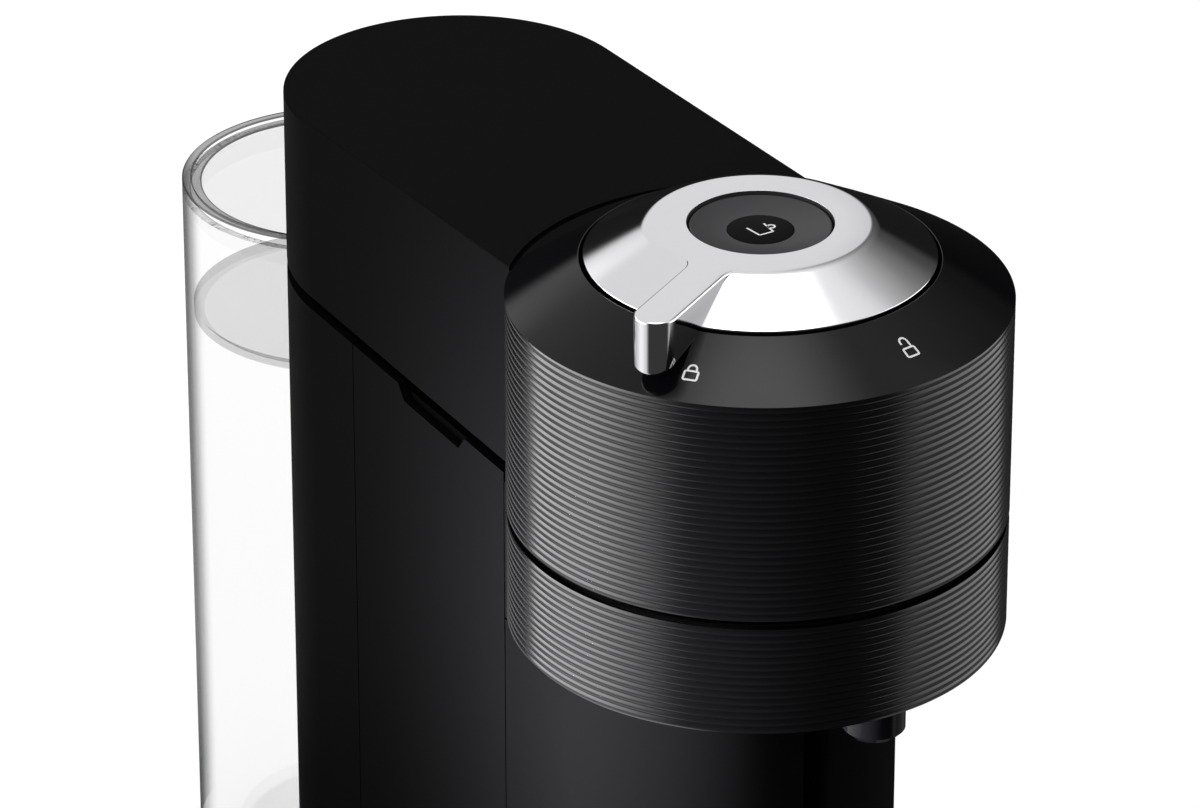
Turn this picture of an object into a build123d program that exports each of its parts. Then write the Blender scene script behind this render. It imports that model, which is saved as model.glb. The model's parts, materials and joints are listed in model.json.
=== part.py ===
from build123d import *
from math import atan, cos, radians, sin, sqrt, tan
import os

# Pod coffee machine in millimetres. The floor is z = 0, the front faces -Y, the lever is locked.

# Drum head
HEIGHT = 314.0
LEVER_RISE = 21.5
DRUM_RADIUS = 71.0
DRUM_WALL = 2.5
UPPER_DRUM_HEIGHT = 65.7
LOWER_DRUM_HEIGHT = 32.5
DRUM_SEAM = 2.5
RIB_PITCH = 2.19
RIB_DEPTH = 0.45
DRUM_WINDOW_WIDTH = 44.0
DRUM_WINDOW_HEIGHT = 50.0

# Neck and column
NECK_HALF_WIDTH = 51.6
NECK_REAR_OFFSET = 109.83
NECK_STEP = 0.8
NECK_DEPTH = 64.5
NECK_EDGE = 0.8
WALL = 2.5
SEAM_SLOPE = 3.3
COLUMN_GAP = 4.0
COLUMN_FRONT_OFFSET = 19.8
FRONT_SEAM_Y = -15.33
FRONT_SEAM_RUN = 3.9
PANEL_LINE_OFFSET = 85.03
SEAM_WIDTH = 0.4
NOTCH_START_OFFSET = 22.83
NOTCH_LENGTH = 35.0
NOTCH_DEPTH = 4.5
DECK_RECESS = 2.0
DECK_THICKNESS = 3.0
UNDERPLATE_THICKNESS = 2.5

# Clearances
FIT = 0.3
RUNNING_FIT = 0.05
CONTACT = 0.2

# Head hinge
HINGE_Y = 130.0
HINGE_DROP = 40.5
HINGE_BOSS_RADIUS = 6.0
HINGE_PIN_RADIUS = 3.0
HEAD_OPENING = 30.0
HEAD_CLEARANCE = 1.0
LUG_INNER_X = 8.0
LUG_THICKNESS = 5.0
LUG_PLATE_THICKNESS = 3.0
LUG_PLATE_LENGTH = 18.0
ARM_GAP = 1.0
ARM_THICKNESS = 5.0
ARM_FRONT_Y = 62.0
ARM_REAR_Y = 106.0
ARM_LIFT = 4.5
ARM_SLOT_CLEARANCE = 1.5

# Base
FOOT_HEIGHT = 4.0
FOOT_RADIUS = 8.0
BASE_THICKNESS = 12.0
BASE_EDGE = 1.0
BASE_FRONT_RADIUS = 70.0
BASE_FRONT_OFFSET = -75.4
SCREW_HEAD_RADIUS = 3.0
SCREW_HEAD_HEIGHT = 2.5
SCREW_SHANK_RADIUS = 1.5
SCREW_SPACING_X = 72.0
SCREW_SPACING_Y = 55.0
SCREW_CENTRE_Y = 26.0

# Chassis in the column
CHASSIS_HALF_WIDTH = 46.0
CHASSIS_PLATE = 3.0
CHASSIS_REAR_Y = 99.0
SPINE_Y = 26.0
STANDOFF_LENGTH = 2.0
STANDOFF_RADIUS = 2.5

# Water tank
TANK_OFFSET = 179.63
TANK_RADIUS = 49.1
TANK_WALL = 2.3
TANK_FLOOR = 3.0
TANK_SEAT = 4.0
TANK_SEAT_RADIUS = 34.0
TANK_DROP = 59.0
LID_RISE = 3.7
LID_PLUG_DEPTH = 6.5
LID_BAND = 3.0
LID_STEP = 1.3
LID_PLATE = 1.6
TANK_GAP = 1.2
VALVE_Z = 34.0
VALVE_RADIUS = 8.8
VALVE_LENGTH = 15.0
VALVE_SOCKET_DEPTH = 9.0
VALVE_FLANGE = 2.4
SPIGOT_RADIUS = 6.0
SPIGOT_BORE = 3.0
SPIGOT_REACH = 5.0
SPIGOT_FLANGE = 3.0

# Used-capsule container, cup support and spout
DRIVE_SPACE = 11.3
DRIVE_COVER_GAP = 0.7
GROOVE_WIDTH = 8.5
GROOVE_DEPTH = 7.0
CUP_TRAY_HEIGHT = 18.0
CUP_TRAY_WALL = 2.5
GRID_THICKNESS = 2.5
GRID_LEDGE = 2.5
GRID_SLOT_WIDTH = 3.0
GRID_SLOT_PITCH = 6.0
GRID_MARGIN = 7.0
SPOUT_INSET = 11.0
SPOUT_RADIUS = 8.8
SPOUT_LENGTH = 10.3
SPOUT_BORE = 3.0
SPOUT_CHAMFER = 2.0

# Brewing parts in the lower drum
BOWL_FLOOR = 3.2
BOWL_WALL = 2.6
BOWL_RIM_DROP = 1.0
SHAFT_RADIUS = 6.0
BEARING_RADIUS = 12.0
BEARING_HEIGHT = 4.2
BEARING_SPACING = 5.0
HUB_WALL = 4.0
HOLDER_RADIUS = 36.0
HOLDER_CUP_RADIUS = 30.0
HOLDER_FLOOR_RADIUS = 24.0
HOLDER_WALL = 2.5
HOLDER_RIM_DROP = 3.1
HOLDER_FLANGE = 2.5
READER_WIDTH = 14.0
READER_DEPTH = 8.0
READER_HEIGHT = 7.0
READER_INSET = 16.5

# Drive
DRIVEN_RADIUS = 26.0
MOTOR_PULLEY_RADIUS = 9.0
PULLEY_WIDTH = 6.0
PULLEY_RISE = 4.0
MOTOR_Y = 7.0
MOTOR_RADIUS = 14.0
MOTOR_HEIGHT = 50.0
MOTOR_SHAFT_RADIUS = 3.0
MOTOR_SHAFT_LENGTH = 40.0
BELT_THICKNESS = 1.5
BELT_WIDTH = 4.8

# Head parts
HEAD_PLATE_RISE = 4.2
HEAD_PLATE = 3.0
POST_RADIUS = 18.0
POST_BORE = 14.0
POST_TOP_DROP = 16.0
POST_CAP = 4.0
HEAD_BEARING_RADIUS = 11.0
HEAD_BEARING_HEIGHT = 9.3
INJECTION_RADIUS = 31.0
INJECTION_THICKNESS = 5.0
INJECTION_GAP = 0.8
INJECTION_SHOULDER = 8.5
NEEDLE_RADIUS = 2.2
NEEDLE_LENGTH = 6.0
SEAL_GAP = 5.5
SEAL_WIDTH = 5.0
SEAL_HEIGHT = 4.0
TOP_RING_WALL = 2.5
LEVER_SEAM = 1.0

# Lever, lock ring and button
LEVER_BASE_RADIUS = 49.2
LEVER_BASE_DROP = 9.4
LEVER_TOP_RADIUS = 31.8
LEVER_SKIRT = 2.8
LEVER_WALL = 2.5
LEVER_HUB_WALL = 4.0
LEVER_HUB_HEIGHT = 52.0
LEVER_WELL_DEPTH = 5.5
LEVER_ANGLE = 210.8
LEVER_TIP_INSET = 0.6
LEVER_ARM_WIDTH = 12.0
LEVER_ARM_ROOT = 8.0
LEVER_TIP_DROP = 16.5
LEVER_EDGE = 0.7
LEVER_SHOULDER = 6.0
LOCK_RING_GAP = 6.5
LOCK_RING_WIDTH = 6.0
LOCK_RING_HEIGHT = 6.0
LOCK_HUB_RADIUS = 30.0
LOCK_SPOKE_WIDTH = 9.0
LOCK_LUG_DEPTH = 13.0
LOCK_COUNT = 3
BUTTON_HOLE_RADIUS = 20.55
BUTTON_GAP = 0.65
BUTTON_DROP = 0.8
BUTTON_DISH = 1.5
BUTTON_DEPTH = 3.2
STEM_RADIUS = 5.0
STEM_GAP = 0.3
STEM_LENGTH = 20.0
LENS_RADIUS = 9.4
LENS_DEPTH = 0.8
LENS_PROUD = 0.1
SWITCH_DISC = 3.5
SWITCH_PLUNGER_RADIUS = 2.0
SWITCH_PLUNGER_GAP = 1.7
SWITCH_PLUNGER = 1.2

# Water circuit and electrics in the column
PUMP_X = -24.0
PUMP_Y = 55.0
PUMP_COIL_RADIUS = 19.0
PUMP_COIL_HEIGHT = 43.0
PUMP_TAIL_RADIUS = 12.0
PUMP_TAIL_HEIGHT = 50.0
PUMP_MOUNT_RADIUS = 14.0
PUMP_MOUNT_HEIGHT = 8.0
PORT_RADIUS = 4.0
PORT_LENGTH = 8.0
HEATER_X = 24.0
HEATER_RADIUS = 21.0
HEATER_HEIGHT = 81.0
HEATER_FIN_PITCH = 16.0
HEATER_FIN_DEPTH = 2.5
HEATER_PORT_SPACING = 12.0
HOSE_RADIUS = 3.0
HOSE_BEND = 12.0
HOSE_RISE = 24.0
FLOW_METER_WIDTH = 22.0
FLOW_METER_LENGTH = 24.0
FLOW_METER_HEIGHT = 27.0
BOARD_WIDTH = 76.0
BOARD_HEIGHT = 70.0
BOARD_THICKNESS = 1.6
BOARD_DROP = 20.0
RELAY_SIZE = 16.0
CAPACITOR_RADIUS = 7.0
CAPACITOR_HEIGHT = 10.0
HEAD_HOSE_RADIUS = 1.6
HEAD_HOSE_END_Y = 108.0
HEAD_HOSE_END_RISE = 24.0
GLAND_Z = 36.0
GLAND_RADIUS = 5.5
GLAND_BORE = 3.5
GLAND_FLANGE_RADIUS = 8.0
GLAND_FLANGE = 2.6

# Levels and places that follow from the sizes above
DRUM_TOP = HEIGHT - LEVER_RISE
UPPER_BOTTOM = DRUM_TOP - UPPER_DRUM_HEIGHT
LOWER_TOP = UPPER_BOTTOM - DRUM_SEAM
LOWER_BOTTOM = LOWER_TOP - LOWER_DRUM_HEIGHT
DRUM_BORE = DRUM_RADIUS - DRUM_WALL
SEAL_RADIUS = DRUM_BORE - SEAL_GAP
LOCK_RING_RADIUS = DRUM_BORE - LOCK_RING_GAP
LEVER_ARM_REACH = DRUM_RADIUS - LEVER_TIP_INSET
NECK_TOP = DRUM_TOP + NECK_STEP
HINGE_Z = DRUM_TOP - HINGE_DROP
TANK_TOP = DRUM_TOP - TANK_DROP
NECK_REAR_Y = FRONT_SEAM_Y + NECK_REAR_OFFSET
NECK_BORE = NECK_HALF_WIDTH - WALL
DRUM_Y = FRONT_SEAM_Y - FRONT_SEAM_RUN - sqrt(DRUM_RADIUS**2 - NECK_HALF_WIDTH**2)
COLUMN_FRONT_Y = DRUM_Y + COLUMN_FRONT_OFFSET
BASE_FRONT_Y = DRUM_Y + BASE_FRONT_OFFSET
PANEL_LINE_Y = FRONT_SEAM_Y + PANEL_LINE_OFFSET
NOTCH_Y = FRONT_SEAM_Y + NOTCH_START_OFFSET
TANK_Y = FRONT_SEAM_Y + TANK_OFFSET
TANK_FRONT_Y = TANK_Y - TANK_RADIUS
SPOUT_Y = DRUM_Y - DRUM_RADIUS + SPOUT_INSET
BASE_TOP = FOOT_HEIGHT + BASE_THICKNESS
SEAT_LEVEL = FOOT_HEIGHT + TANK_SEAT
CHASSIS_TOP = BASE_TOP + CHASSIS_PLATE
CHASSIS_FRONT_Y = FRONT_SEAM_Y + CHASSIS_PLATE
SPINE_REAR_Y = SPINE_Y + CHASSIS_PLATE
DRIVE_FLOOR = LOWER_BOTTOM - DRIVE_SPACE
CONTAINER_TOP = DRIVE_FLOOR - DRIVE_COVER_GAP
PULLEY_LOW = DRIVE_FLOOR + PULLEY_RISE
CONE_SLOPE = (LEVER_RISE - LEVER_BASE_DROP) / (DRUM_RADIUS - LEVER_BASE_RADIUS)
TOP_RING_BORE = LEVER_BASE_RADIUS + LEVER_SEAM
LID_TOP = TANK_TOP + LID_RISE
GLAND_Y = PANEL_LINE_Y + GLAND_FLANGE_RADIUS

DRUM_PLANE = Plane.XZ.offset(-DRUM_Y)
DRUM_AXIS = Axis((0, DRUM_Y, 0), (0, 0, 1))
TANK_PLANE = Plane.XZ.offset(-TANK_Y)
TANK_AXIS = Axis((0, TANK_Y, 0), (0, 0, 1))
SPOUT_PLANE = Plane.XZ.offset(-SPOUT_Y)
SPOUT_AXIS = Axis((0, SPOUT_Y, 0), (0, 0, 1))


def sloped_plane(height):
    """The parting plane of neck and column, which rises to the rear, at a height over the drum axis."""
    tilt = radians(SEAM_SLOPE)
    return Plane(origin=(0, DRUM_Y, height), x_dir=(1, 0, 0), z_dir=(0, -sin(tilt), cos(tilt)))


def sloped_height(plane, y):
    """Height of a sloped plane at a place along the machine."""
    return plane.origin.Z + tan(radians(SEAM_SLOPE)) * (y - DRUM_Y)


NECK_PLANE = sloped_plane(DRUM_TOP - NECK_DEPTH)
COLUMN_PLANE = NECK_PLANE.offset(-COLUMN_GAP)
DECK_PLANE = COLUMN_PLANE.offset(-DECK_RECESS)
DECK_UNDERSIDE = DECK_PLANE.offset(-DECK_THICKNESS)
BOARD_Z = sloped_height(DECK_UNDERSIDE, SPINE_REAR_Y) - BOARD_DROP - BOARD_HEIGHT / 2


def rib_profile(low, high):
    """Wall section of a ribbed drum: one ridge per rib outside, plain inside."""
    count = max(1, round((high - low) / RIB_PITCH))
    pitch = (high - low) / count
    ridges = [(DRUM_BORE, low)]
    for rib in range(count):
        ridges.append((DRUM_RADIUS - RIB_DEPTH, low + rib * pitch))
        ridges.append((DRUM_RADIUS, low + (rib + 0.5) * pitch))
    return ridges + [(DRUM_RADIUS - RIB_DEPTH, high), (DRUM_BORE, high)]


def neck_plan(half_width, front_y):
    """Plan of neck and column: straight sides from front_y and a half-round rear end."""
    with BuildSketch() as plan:
        with Locations((0, NECK_REAR_Y)):
            Circle(half_width)
        with Locations((0, (front_y + NECK_REAR_Y) / 2)):
            Rectangle(2 * half_width, NECK_REAR_Y - front_y)
        with Locations((0, front_y - half_width)):
            Rectangle(4 * half_width, 2 * half_width, mode=Mode.SUBTRACT)
    return plan.sketch


def column_front_plan(half_width, rear_y):
    """Plan of the column's front piece: half-round front end and straight sides back to rear_y."""
    with BuildSketch() as plan:
        with Locations((0, COLUMN_FRONT_Y)):
            Circle(half_width)
        with Locations((0, (COLUMN_FRONT_Y + rear_y) / 2)):
            Rectangle(2 * half_width, rear_y - COLUMN_FRONT_Y)
        with Locations((0, rear_y + half_width)):
            Rectangle(4 * half_width, 2 * half_width, mode=Mode.SUBTRACT)
    return plan.sketch


def belt_plan(clearance):
    """Plan of a loop round both pulleys, at a clearance from their rims."""
    with BuildSketch() as plan:
        with Locations((0, DRUM_Y)):
            Circle(DRIVEN_RADIUS + clearance)
        with Locations((0, MOTOR_Y)):
            Circle(MOTOR_PULLEY_RADIUS + clearance)
        make_hull()
    return plan.sketch


def tray_plan(inset):
    """Plan of the cup support: a disc with a hollow round the column, drawn in by an inset."""
    with BuildSketch() as plan:
        with Locations((0, BASE_FRONT_Y)):
            Circle(BASE_FRONT_RADIUS - inset)
        with Locations((0, COLUMN_FRONT_Y)):
            Circle(NECK_HALF_WIDTH + 2 * FIT + inset, mode=Mode.SUBTRACT)
    return plan.sketch


NECK_OUTER = neck_plan(NECK_HALF_WIDTH, DRUM_Y)
NECK_INNER = neck_plan(NECK_BORE, DRUM_Y)
REAR_OUTER = neck_plan(NECK_HALF_WIDTH, PANEL_LINE_Y + SEAM_WIDTH / 2)
REAR_INNER = neck_plan(NECK_BORE, PANEL_LINE_Y)
CRADLE_PLAN = neck_plan(NECK_BORE - FIT, PANEL_LINE_Y)
DECK_PLAN = neck_plan(NECK_BORE - FIT, FRONT_SEAM_Y)
UNDERPLATE_PLAN = neck_plan(NECK_BORE - FIT, DRUM_Y)
BASE_COLUMN = neck_plan(NECK_HALF_WIDTH, COLUMN_FRONT_Y)
FRONT_OUTER = column_front_plan(NECK_HALF_WIDTH, FRONT_SEAM_Y - FIT)
COVER_INNER = column_front_plan(NECK_BORE, FRONT_SEAM_Y)
FRONT_INNER = column_front_plan(NECK_BORE, FRONT_SEAM_Y - FIT - WALL)
BELT_OUTER = belt_plan(CONTACT + BELT_THICKNESS)
BELT_INNER = belt_plan(CONTACT)
TRAY_OUTER = tray_plan(0)
TRAY_INNER = tray_plan(CUP_TRAY_WALL)
TRAY_WELL = tray_plan(CUP_TRAY_WALL + GRID_LEDGE)
GRID_OUTER = tray_plan(CUP_TRAY_WALL + FIT)
GRID_FIELD = tray_plan(CUP_TRAY_WALL + GRID_MARGIN)
SCREW_PLACES = [
    (x * SCREW_SPACING_X / 2, SCREW_CENTRE_Y + y * SCREW_SPACING_Y / 2) for x in (-1, 1) for y in (-1, 1)
]

os.makedirs("parts", exist_ok=True)

# Base plate: a round foot in front, the column's foot, and a thin round seat for the tank
with BuildPart() as base_plate:
    with BuildSketch(Plane.XY.offset(FOOT_HEIGHT)):
        with Locations((0, BASE_FRONT_Y)):
            Circle(BASE_FRONT_RADIUS)
    extrude(amount=BASE_THICKNESS)
    chamfer(base_plate.edges().group_by(Axis.Z)[-1], BASE_EDGE)
    with BuildSketch(Plane.XY.offset(FOOT_HEIGHT)):
        add(BASE_COLUMN)
        with Locations((0, COLUMN_FRONT_Y)):
            Circle(NECK_HALF_WIDTH)
    extrude(amount=BASE_THICKNESS)
    with BuildSketch(Plane.XY.offset(SEAT_LEVEL)):
        with Locations((0, TANK_Y)):
            Circle(TANK_RADIUS + TANK_GAP)
    extrude(amount=BASE_THICKNESS, mode=Mode.SUBTRACT)
    with BuildSketch(Plane.XY.offset(FOOT_HEIGHT)):
        with Locations((0, TANK_Y)):
            Circle(TANK_SEAT_RADIUS)
    extrude(amount=TANK_SEAT)
    with Locations(*[Location((x, y, FOOT_HEIGHT), (180, 0, 0)) for x, y in SCREW_PLACES]):
        CounterBoreHole(
            SCREW_SHANK_RADIUS + RUNNING_FIT, SCREW_HEAD_RADIUS + RUNNING_FIT, SCREW_HEAD_HEIGHT + FIT
        )
base_plate.part.label = "base_plate"
export_step(base_plate.part, "parts/base_plate.step")

# Rubber feet, two under the front disc and two under the tank
FOOT_FRONT_X = BASE_FRONT_RADIUS - 3 * FOOT_RADIUS
FOOT_REAR_X = TANK_SEAT_RADIUS - 1.25 * FOOT_RADIUS
with BuildPart() as rubber_feet:
    for x, y in ((FOOT_FRONT_X, BASE_FRONT_Y), (FOOT_REAR_X, TANK_Y)):
        with Locations((-x, y, 0), (x, y, 0)):
            Cylinder(FOOT_RADIUS, FOOT_HEIGHT, align=(Align.CENTER, Align.CENTER, Align.MIN))
rubber_feet.part.label = "rubber_feet"
export_step(rubber_feet.part, "parts/rubber_feet.step")

# Four screws that hold the chassis to the base from below
SCREW_SEAT = FOOT_HEIGHT + FIT
with BuildPart() as base_screws:
    with Locations(*[(x, y, SCREW_SEAT) for x, y in SCREW_PLACES]):
        Cylinder(SCREW_HEAD_RADIUS, SCREW_HEAD_HEIGHT, align=(Align.CENTER, Align.CENTER, Align.MIN))
        Cylinder(
            SCREW_SHANK_RADIUS, CHASSIS_TOP - SCREW_SEAT, align=(Align.CENTER, Align.CENTER, Align.MIN)
        )
base_screws.part.label = "base_screws"
export_step(base_screws.part, "parts/base_screws.step")

# Chassis: foot, front wall, motor shelf and a spine that carries the deck and the control board
with BuildPart() as chassis:
    with BuildSketch(Plane.XY.offset(BASE_TOP)):
        with Locations((0, (CHASSIS_FRONT_Y + CHASSIS_REAR_Y) / 2)):
            Rectangle(2 * CHASSIS_HALF_WIDTH, CHASSIS_REAR_Y - CHASSIS_FRONT_Y)
    extrude(amount=CHASSIS_PLATE)
    with BuildSketch(Plane.XY.offset(BASE_TOP)):
        with Locations((0, CHASSIS_FRONT_Y + CHASSIS_PLATE / 2)):
            Rectangle(2 * (NECK_BORE - FIT), CHASSIS_PLATE)
    extrude(amount=DRIVE_FLOOR - BASE_TOP)
    with BuildSketch(Plane.XY.offset(BASE_TOP)):
        with Locations((0, SPINE_Y + CHASSIS_PLATE / 2)):
            Rectangle(2 * CHASSIS_HALF_WIDTH, CHASSIS_PLATE)
    extrude(amount=HEIGHT - BASE_TOP)
    split(bisect_by=DECK_UNDERSIDE, keep=Keep.BOTTOM)
    with BuildSketch(Plane.XY.offset(DRIVE_FLOOR - CHASSIS_PLATE)):
        with Locations((0, (CHASSIS_FRONT_Y + SPINE_Y) / 2)):
            Rectangle(2 * DRIVEN_RADIUS, SPINE_Y - CHASSIS_FRONT_Y)
        with Locations((0, MOTOR_Y)):
            Circle(MOTOR_SHAFT_RADIUS + 2, mode=Mode.SUBTRACT)
    extrude(amount=CHASSIS_PLATE)
    with BuildSketch(Plane.XZ.offset(-SPINE_REAR_Y)):
        with Locations((0, BOARD_Z)):
            with GridLocations(BOARD_WIDTH - 4 * STANDOFF_RADIUS, BOARD_HEIGHT - 4 * STANDOFF_RADIUS, 2, 2):
                Circle(STANDOFF_RADIUS)
    extrude(amount=-STANDOFF_LENGTH)
    with Locations(*[Location((x, y, CHASSIS_TOP)) for x, y in SCREW_PLACES]):
        Hole(SCREW_SHANK_RADIUS + RUNNING_FIT, CHASSIS_PLATE)
chassis.part.label = "chassis"
export_step(chassis.part, "parts/chassis.step")

# Side panels of the column, with a finger notch in the upper edge
for side, name in ((-1, "left_side_panel"), (1, "right_side_panel")):
    with BuildPart() as panel:
        with BuildSketch(Plane.XY.offset(BASE_TOP)):
            with Locations((side * (NECK_HALF_WIDTH - WALL / 2), (FRONT_SEAM_Y + PANEL_LINE_Y) / 2)):
                Rectangle(WALL, PANEL_LINE_Y - FRONT_SEAM_Y - SEAM_WIDTH)
        extrude(amount=HEIGHT - BASE_TOP)
        split(bisect_by=COLUMN_PLANE, keep=Keep.BOTTOM)
        with BuildSketch(Plane.YZ):
            notch_floor = sloped_height(COLUMN_PLANE, NOTCH_Y) - NOTCH_DEPTH
            notch_end = NOTCH_Y + NOTCH_LENGTH
            end_floor = sloped_height(COLUMN_PLANE, notch_end) - NOTCH_DEPTH
            Polygon(
                (NOTCH_Y - NOTCH_DEPTH, notch_floor + 2 * NOTCH_DEPTH),
                (NOTCH_Y + NOTCH_DEPTH / 2, notch_floor),
                (notch_end - NOTCH_DEPTH / 2, end_floor),
                (notch_end + NOTCH_DEPTH, end_floor + 2 * NOTCH_DEPTH),
                align=None,
            )
        extrude(amount=side * NECK_HALF_WIDTH, mode=Mode.SUBTRACT)
    panel.part.label = name
    export_step(panel.part, f"parts/{name}.step")

# Rear covers of the column: a round corner at either side, with a slot for the cord in the right one
for side, name in ((-1, "left_rear_cover"), (1, "right_rear_cover")):
    with BuildPart() as rear_cover:
        with BuildSketch(Plane.XY.offset(BASE_TOP)):
            add(REAR_OUTER)
            add(REAR_INNER, mode=Mode.SUBTRACT)
            with Locations((0, TANK_Y)):
                Circle(TANK_RADIUS + TANK_GAP, mode=Mode.SUBTRACT)
            with Locations((side * NECK_HALF_WIDTH, NECK_REAR_Y)):
                Rectangle(2 * NECK_HALF_WIDTH, 4 * NECK_HALF_WIDTH, mode=Mode.INTERSECT)
        extrude(amount=HEIGHT - BASE_TOP)
        split(bisect_by=COLUMN_PLANE, keep=Keep.BOTTOM)
        with BuildSketch(Plane.YZ.offset(NECK_BORE - WALL)):
            with Locations((GLAND_Y, GLAND_Z)):
                Circle(GLAND_RADIUS + CONTACT)
            with Locations(((PANEL_LINE_Y + GLAND_Y) / 2, GLAND_Z)):
                Rectangle(GLAND_Y - PANEL_LINE_Y, 2 * (GLAND_RADIUS + CONTACT))
        extrude(amount=3 * WALL, mode=Mode.SUBTRACT)
    rear_cover.part.label = name
    export_step(rear_cover.part, f"parts/{name}.step")

# Tank cradle: the column's hollow rear wall round the tank, with a slot for the dock
with BuildPart() as tank_cradle:
    with BuildSketch(Plane.XY.offset(BASE_TOP)):
        with Locations((0, TANK_Y)):
            Circle(TANK_RADIUS + TANK_GAP + WALL)
            Circle(TANK_RADIUS + TANK_GAP, mode=Mode.SUBTRACT)
        add(CRADLE_PLAN, mode=Mode.INTERSECT)
    extrude(amount=HEIGHT - BASE_TOP)
    split(bisect_by=COLUMN_PLANE, keep=Keep.BOTTOM)
    with BuildSketch(Plane.XZ.offset(-TANK_FRONT_Y)):
        with Locations((0, VALVE_Z)):
            Circle(SPIGOT_RADIUS + FIT)
        with Locations((0, (BASE_TOP + VALVE_Z) / 2)):
            Rectangle(2 * (SPIGOT_RADIUS + FIT), VALVE_Z - BASE_TOP)
    extrude(amount=TANK_GAP + 3 * WALL, mode=Mode.SUBTRACT)
tank_cradle.part.label = "tank_cradle"
export_step(tank_cradle.part, "parts/tank_cradle.step")

# Column deck: the sloped top of the column, seen in the gap when the head is up
with BuildPart() as column_deck:
    with BuildSketch(Plane.XY.offset(LOWER_BOTTOM)):
        add(DECK_PLAN)
        with Locations((0, TANK_Y)):
            Circle(TANK_RADIUS + TANK_GAP + WALL + FIT, mode=Mode.SUBTRACT)
        with Locations((0, DRUM_Y)):
            Circle(DRUM_RADIUS, mode=Mode.SUBTRACT)
    extrude(amount=HEIGHT - LOWER_BOTTOM)
    split(bisect_by=DECK_PLANE, keep=Keep.BOTTOM)
    split(bisect_by=DECK_UNDERSIDE, keep=Keep.TOP)
column_deck.part.label = "column_deck"
export_step(column_deck.part, "parts/column_deck.step")

# Hinge arms: two cranked plates on the deck that reach back inside the neck to the hinge
ARM_INNER_X = LUG_INNER_X + LUG_THICKNESS + ARM_GAP
with BuildPart() as hinge_arms:
    with BuildSketch(Plane.YZ.offset(ARM_INNER_X)):
        Polygon(
            (ARM_FRONT_Y, LOWER_TOP),
            (ARM_REAR_Y, LOWER_TOP),
            (ARM_REAR_Y, LID_TOP + ARM_LIFT),
            (HINGE_Y, HINGE_Z - HINGE_BOSS_RADIUS),
            (HINGE_Y, HINGE_Z + HINGE_BOSS_RADIUS),
            (ARM_REAR_Y, HINGE_Z + HINGE_BOSS_RADIUS),
            (ARM_FRONT_Y, HINGE_Z - 2 * HINGE_BOSS_RADIUS),
            align=None,
        )
        with Locations((HINGE_Y, HINGE_Z)):
            Circle(HINGE_BOSS_RADIUS)
            Circle(HINGE_PIN_RADIUS + RUNNING_FIT, mode=Mode.SUBTRACT)
    extrude(amount=ARM_THICKNESS)
    split(bisect_by=DECK_PLANE, keep=Keep.TOP)
    mirror(about=Plane.YZ)
hinge_arms.part.label = "hinge_arms"
export_step(hinge_arms.part, "parts/hinge_arms.step")

# Hinge pin through arms and lugs
with BuildPart() as hinge_pin:
    with Locations(Location((0, HINGE_Y, HINGE_Z), (0, 90, 0))):
        Cylinder(HINGE_PIN_RADIUS, 2 * (ARM_INNER_X + ARM_THICKNESS))
hinge_pin.part.label = "hinge_pin"
export_step(hinge_pin.part, "parts/hinge_pin.step")

# Lower drum: ribbed ring that runs into the column's sides
RING_JOIN_Y = DRUM_Y + sqrt(DRUM_BORE**2 - NECK_BORE**2)
LOWER_DRUM_REAR = FRONT_SEAM_Y - SEAM_WIDTH / 2
with BuildPart() as lower_drum:
    with BuildSketch(DRUM_PLANE):
        Polygon(*rib_profile(LOWER_BOTTOM, LOWER_TOP), align=None)
    revolve(axis=DRUM_AXIS)
    with BuildSketch(Plane.XY.offset(LOWER_BOTTOM)):
        with Locations((0, LOWER_DRUM_REAR + DRUM_RADIUS)):
            Rectangle(2 * DRUM_RADIUS, 2 * DRUM_RADIUS)
    extrude(amount=LOWER_DRUM_HEIGHT, mode=Mode.SUBTRACT)
    with BuildSketch(Plane.XY.offset(LOWER_BOTTOM)):
        for side in (-1, 1):
            with Locations((side * (NECK_HALF_WIDTH - WALL / 2), (RING_JOIN_Y + LOWER_DRUM_REAR) / 2)):
                Rectangle(WALL, LOWER_DRUM_REAR - RING_JOIN_Y)
    extrude(amount=LOWER_DRUM_HEIGHT)
lower_drum.part.label = "lower_drum"
export_step(lower_drum.part, "parts/lower_drum.step")

# Brew bowl: floor of the lower drum, with the bearing hub and the coffee outlet
BOWL_RADIUS = DRUM_BORE - FIT
BOWL_RIM = LOWER_TOP - BOWL_RIM_DROP
BOWL_FLOOR_TOP = LOWER_BOTTOM + BOWL_FLOOR
HUB_BORE = BEARING_RADIUS + RUNNING_FIT
HUB_TOP = LOWER_BOTTOM + BEARING_HEIGHT + BEARING_SPACING
with BuildPart() as brew_bowl:
    with BuildSketch(DRUM_PLANE):
        Polygon(
            (HUB_BORE, LOWER_BOTTOM),
            (BOWL_RADIUS, LOWER_BOTTOM),
            (BOWL_RADIUS, BOWL_RIM),
            (BOWL_RADIUS - BOWL_WALL, BOWL_RIM),
            (BOWL_RADIUS - BOWL_WALL, BOWL_FLOOR_TOP),
            (HUB_BORE + HUB_WALL, BOWL_FLOOR_TOP),
            (HUB_BORE + HUB_WALL, HUB_TOP),
            (HUB_BORE, HUB_TOP),
            align=None,
        )
    revolve(axis=DRUM_AXIS)
    with BuildSketch(Plane.XY.offset(LOWER_BOTTOM)):
        with Locations((0, SPOUT_Y)):
            Circle(SPOUT_BORE)
    extrude(amount=BOWL_FLOOR, mode=Mode.SUBTRACT)
brew_bowl.part.label = "brew_bowl"
export_step(brew_bowl.part, "parts/brew_bowl.step")

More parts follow.
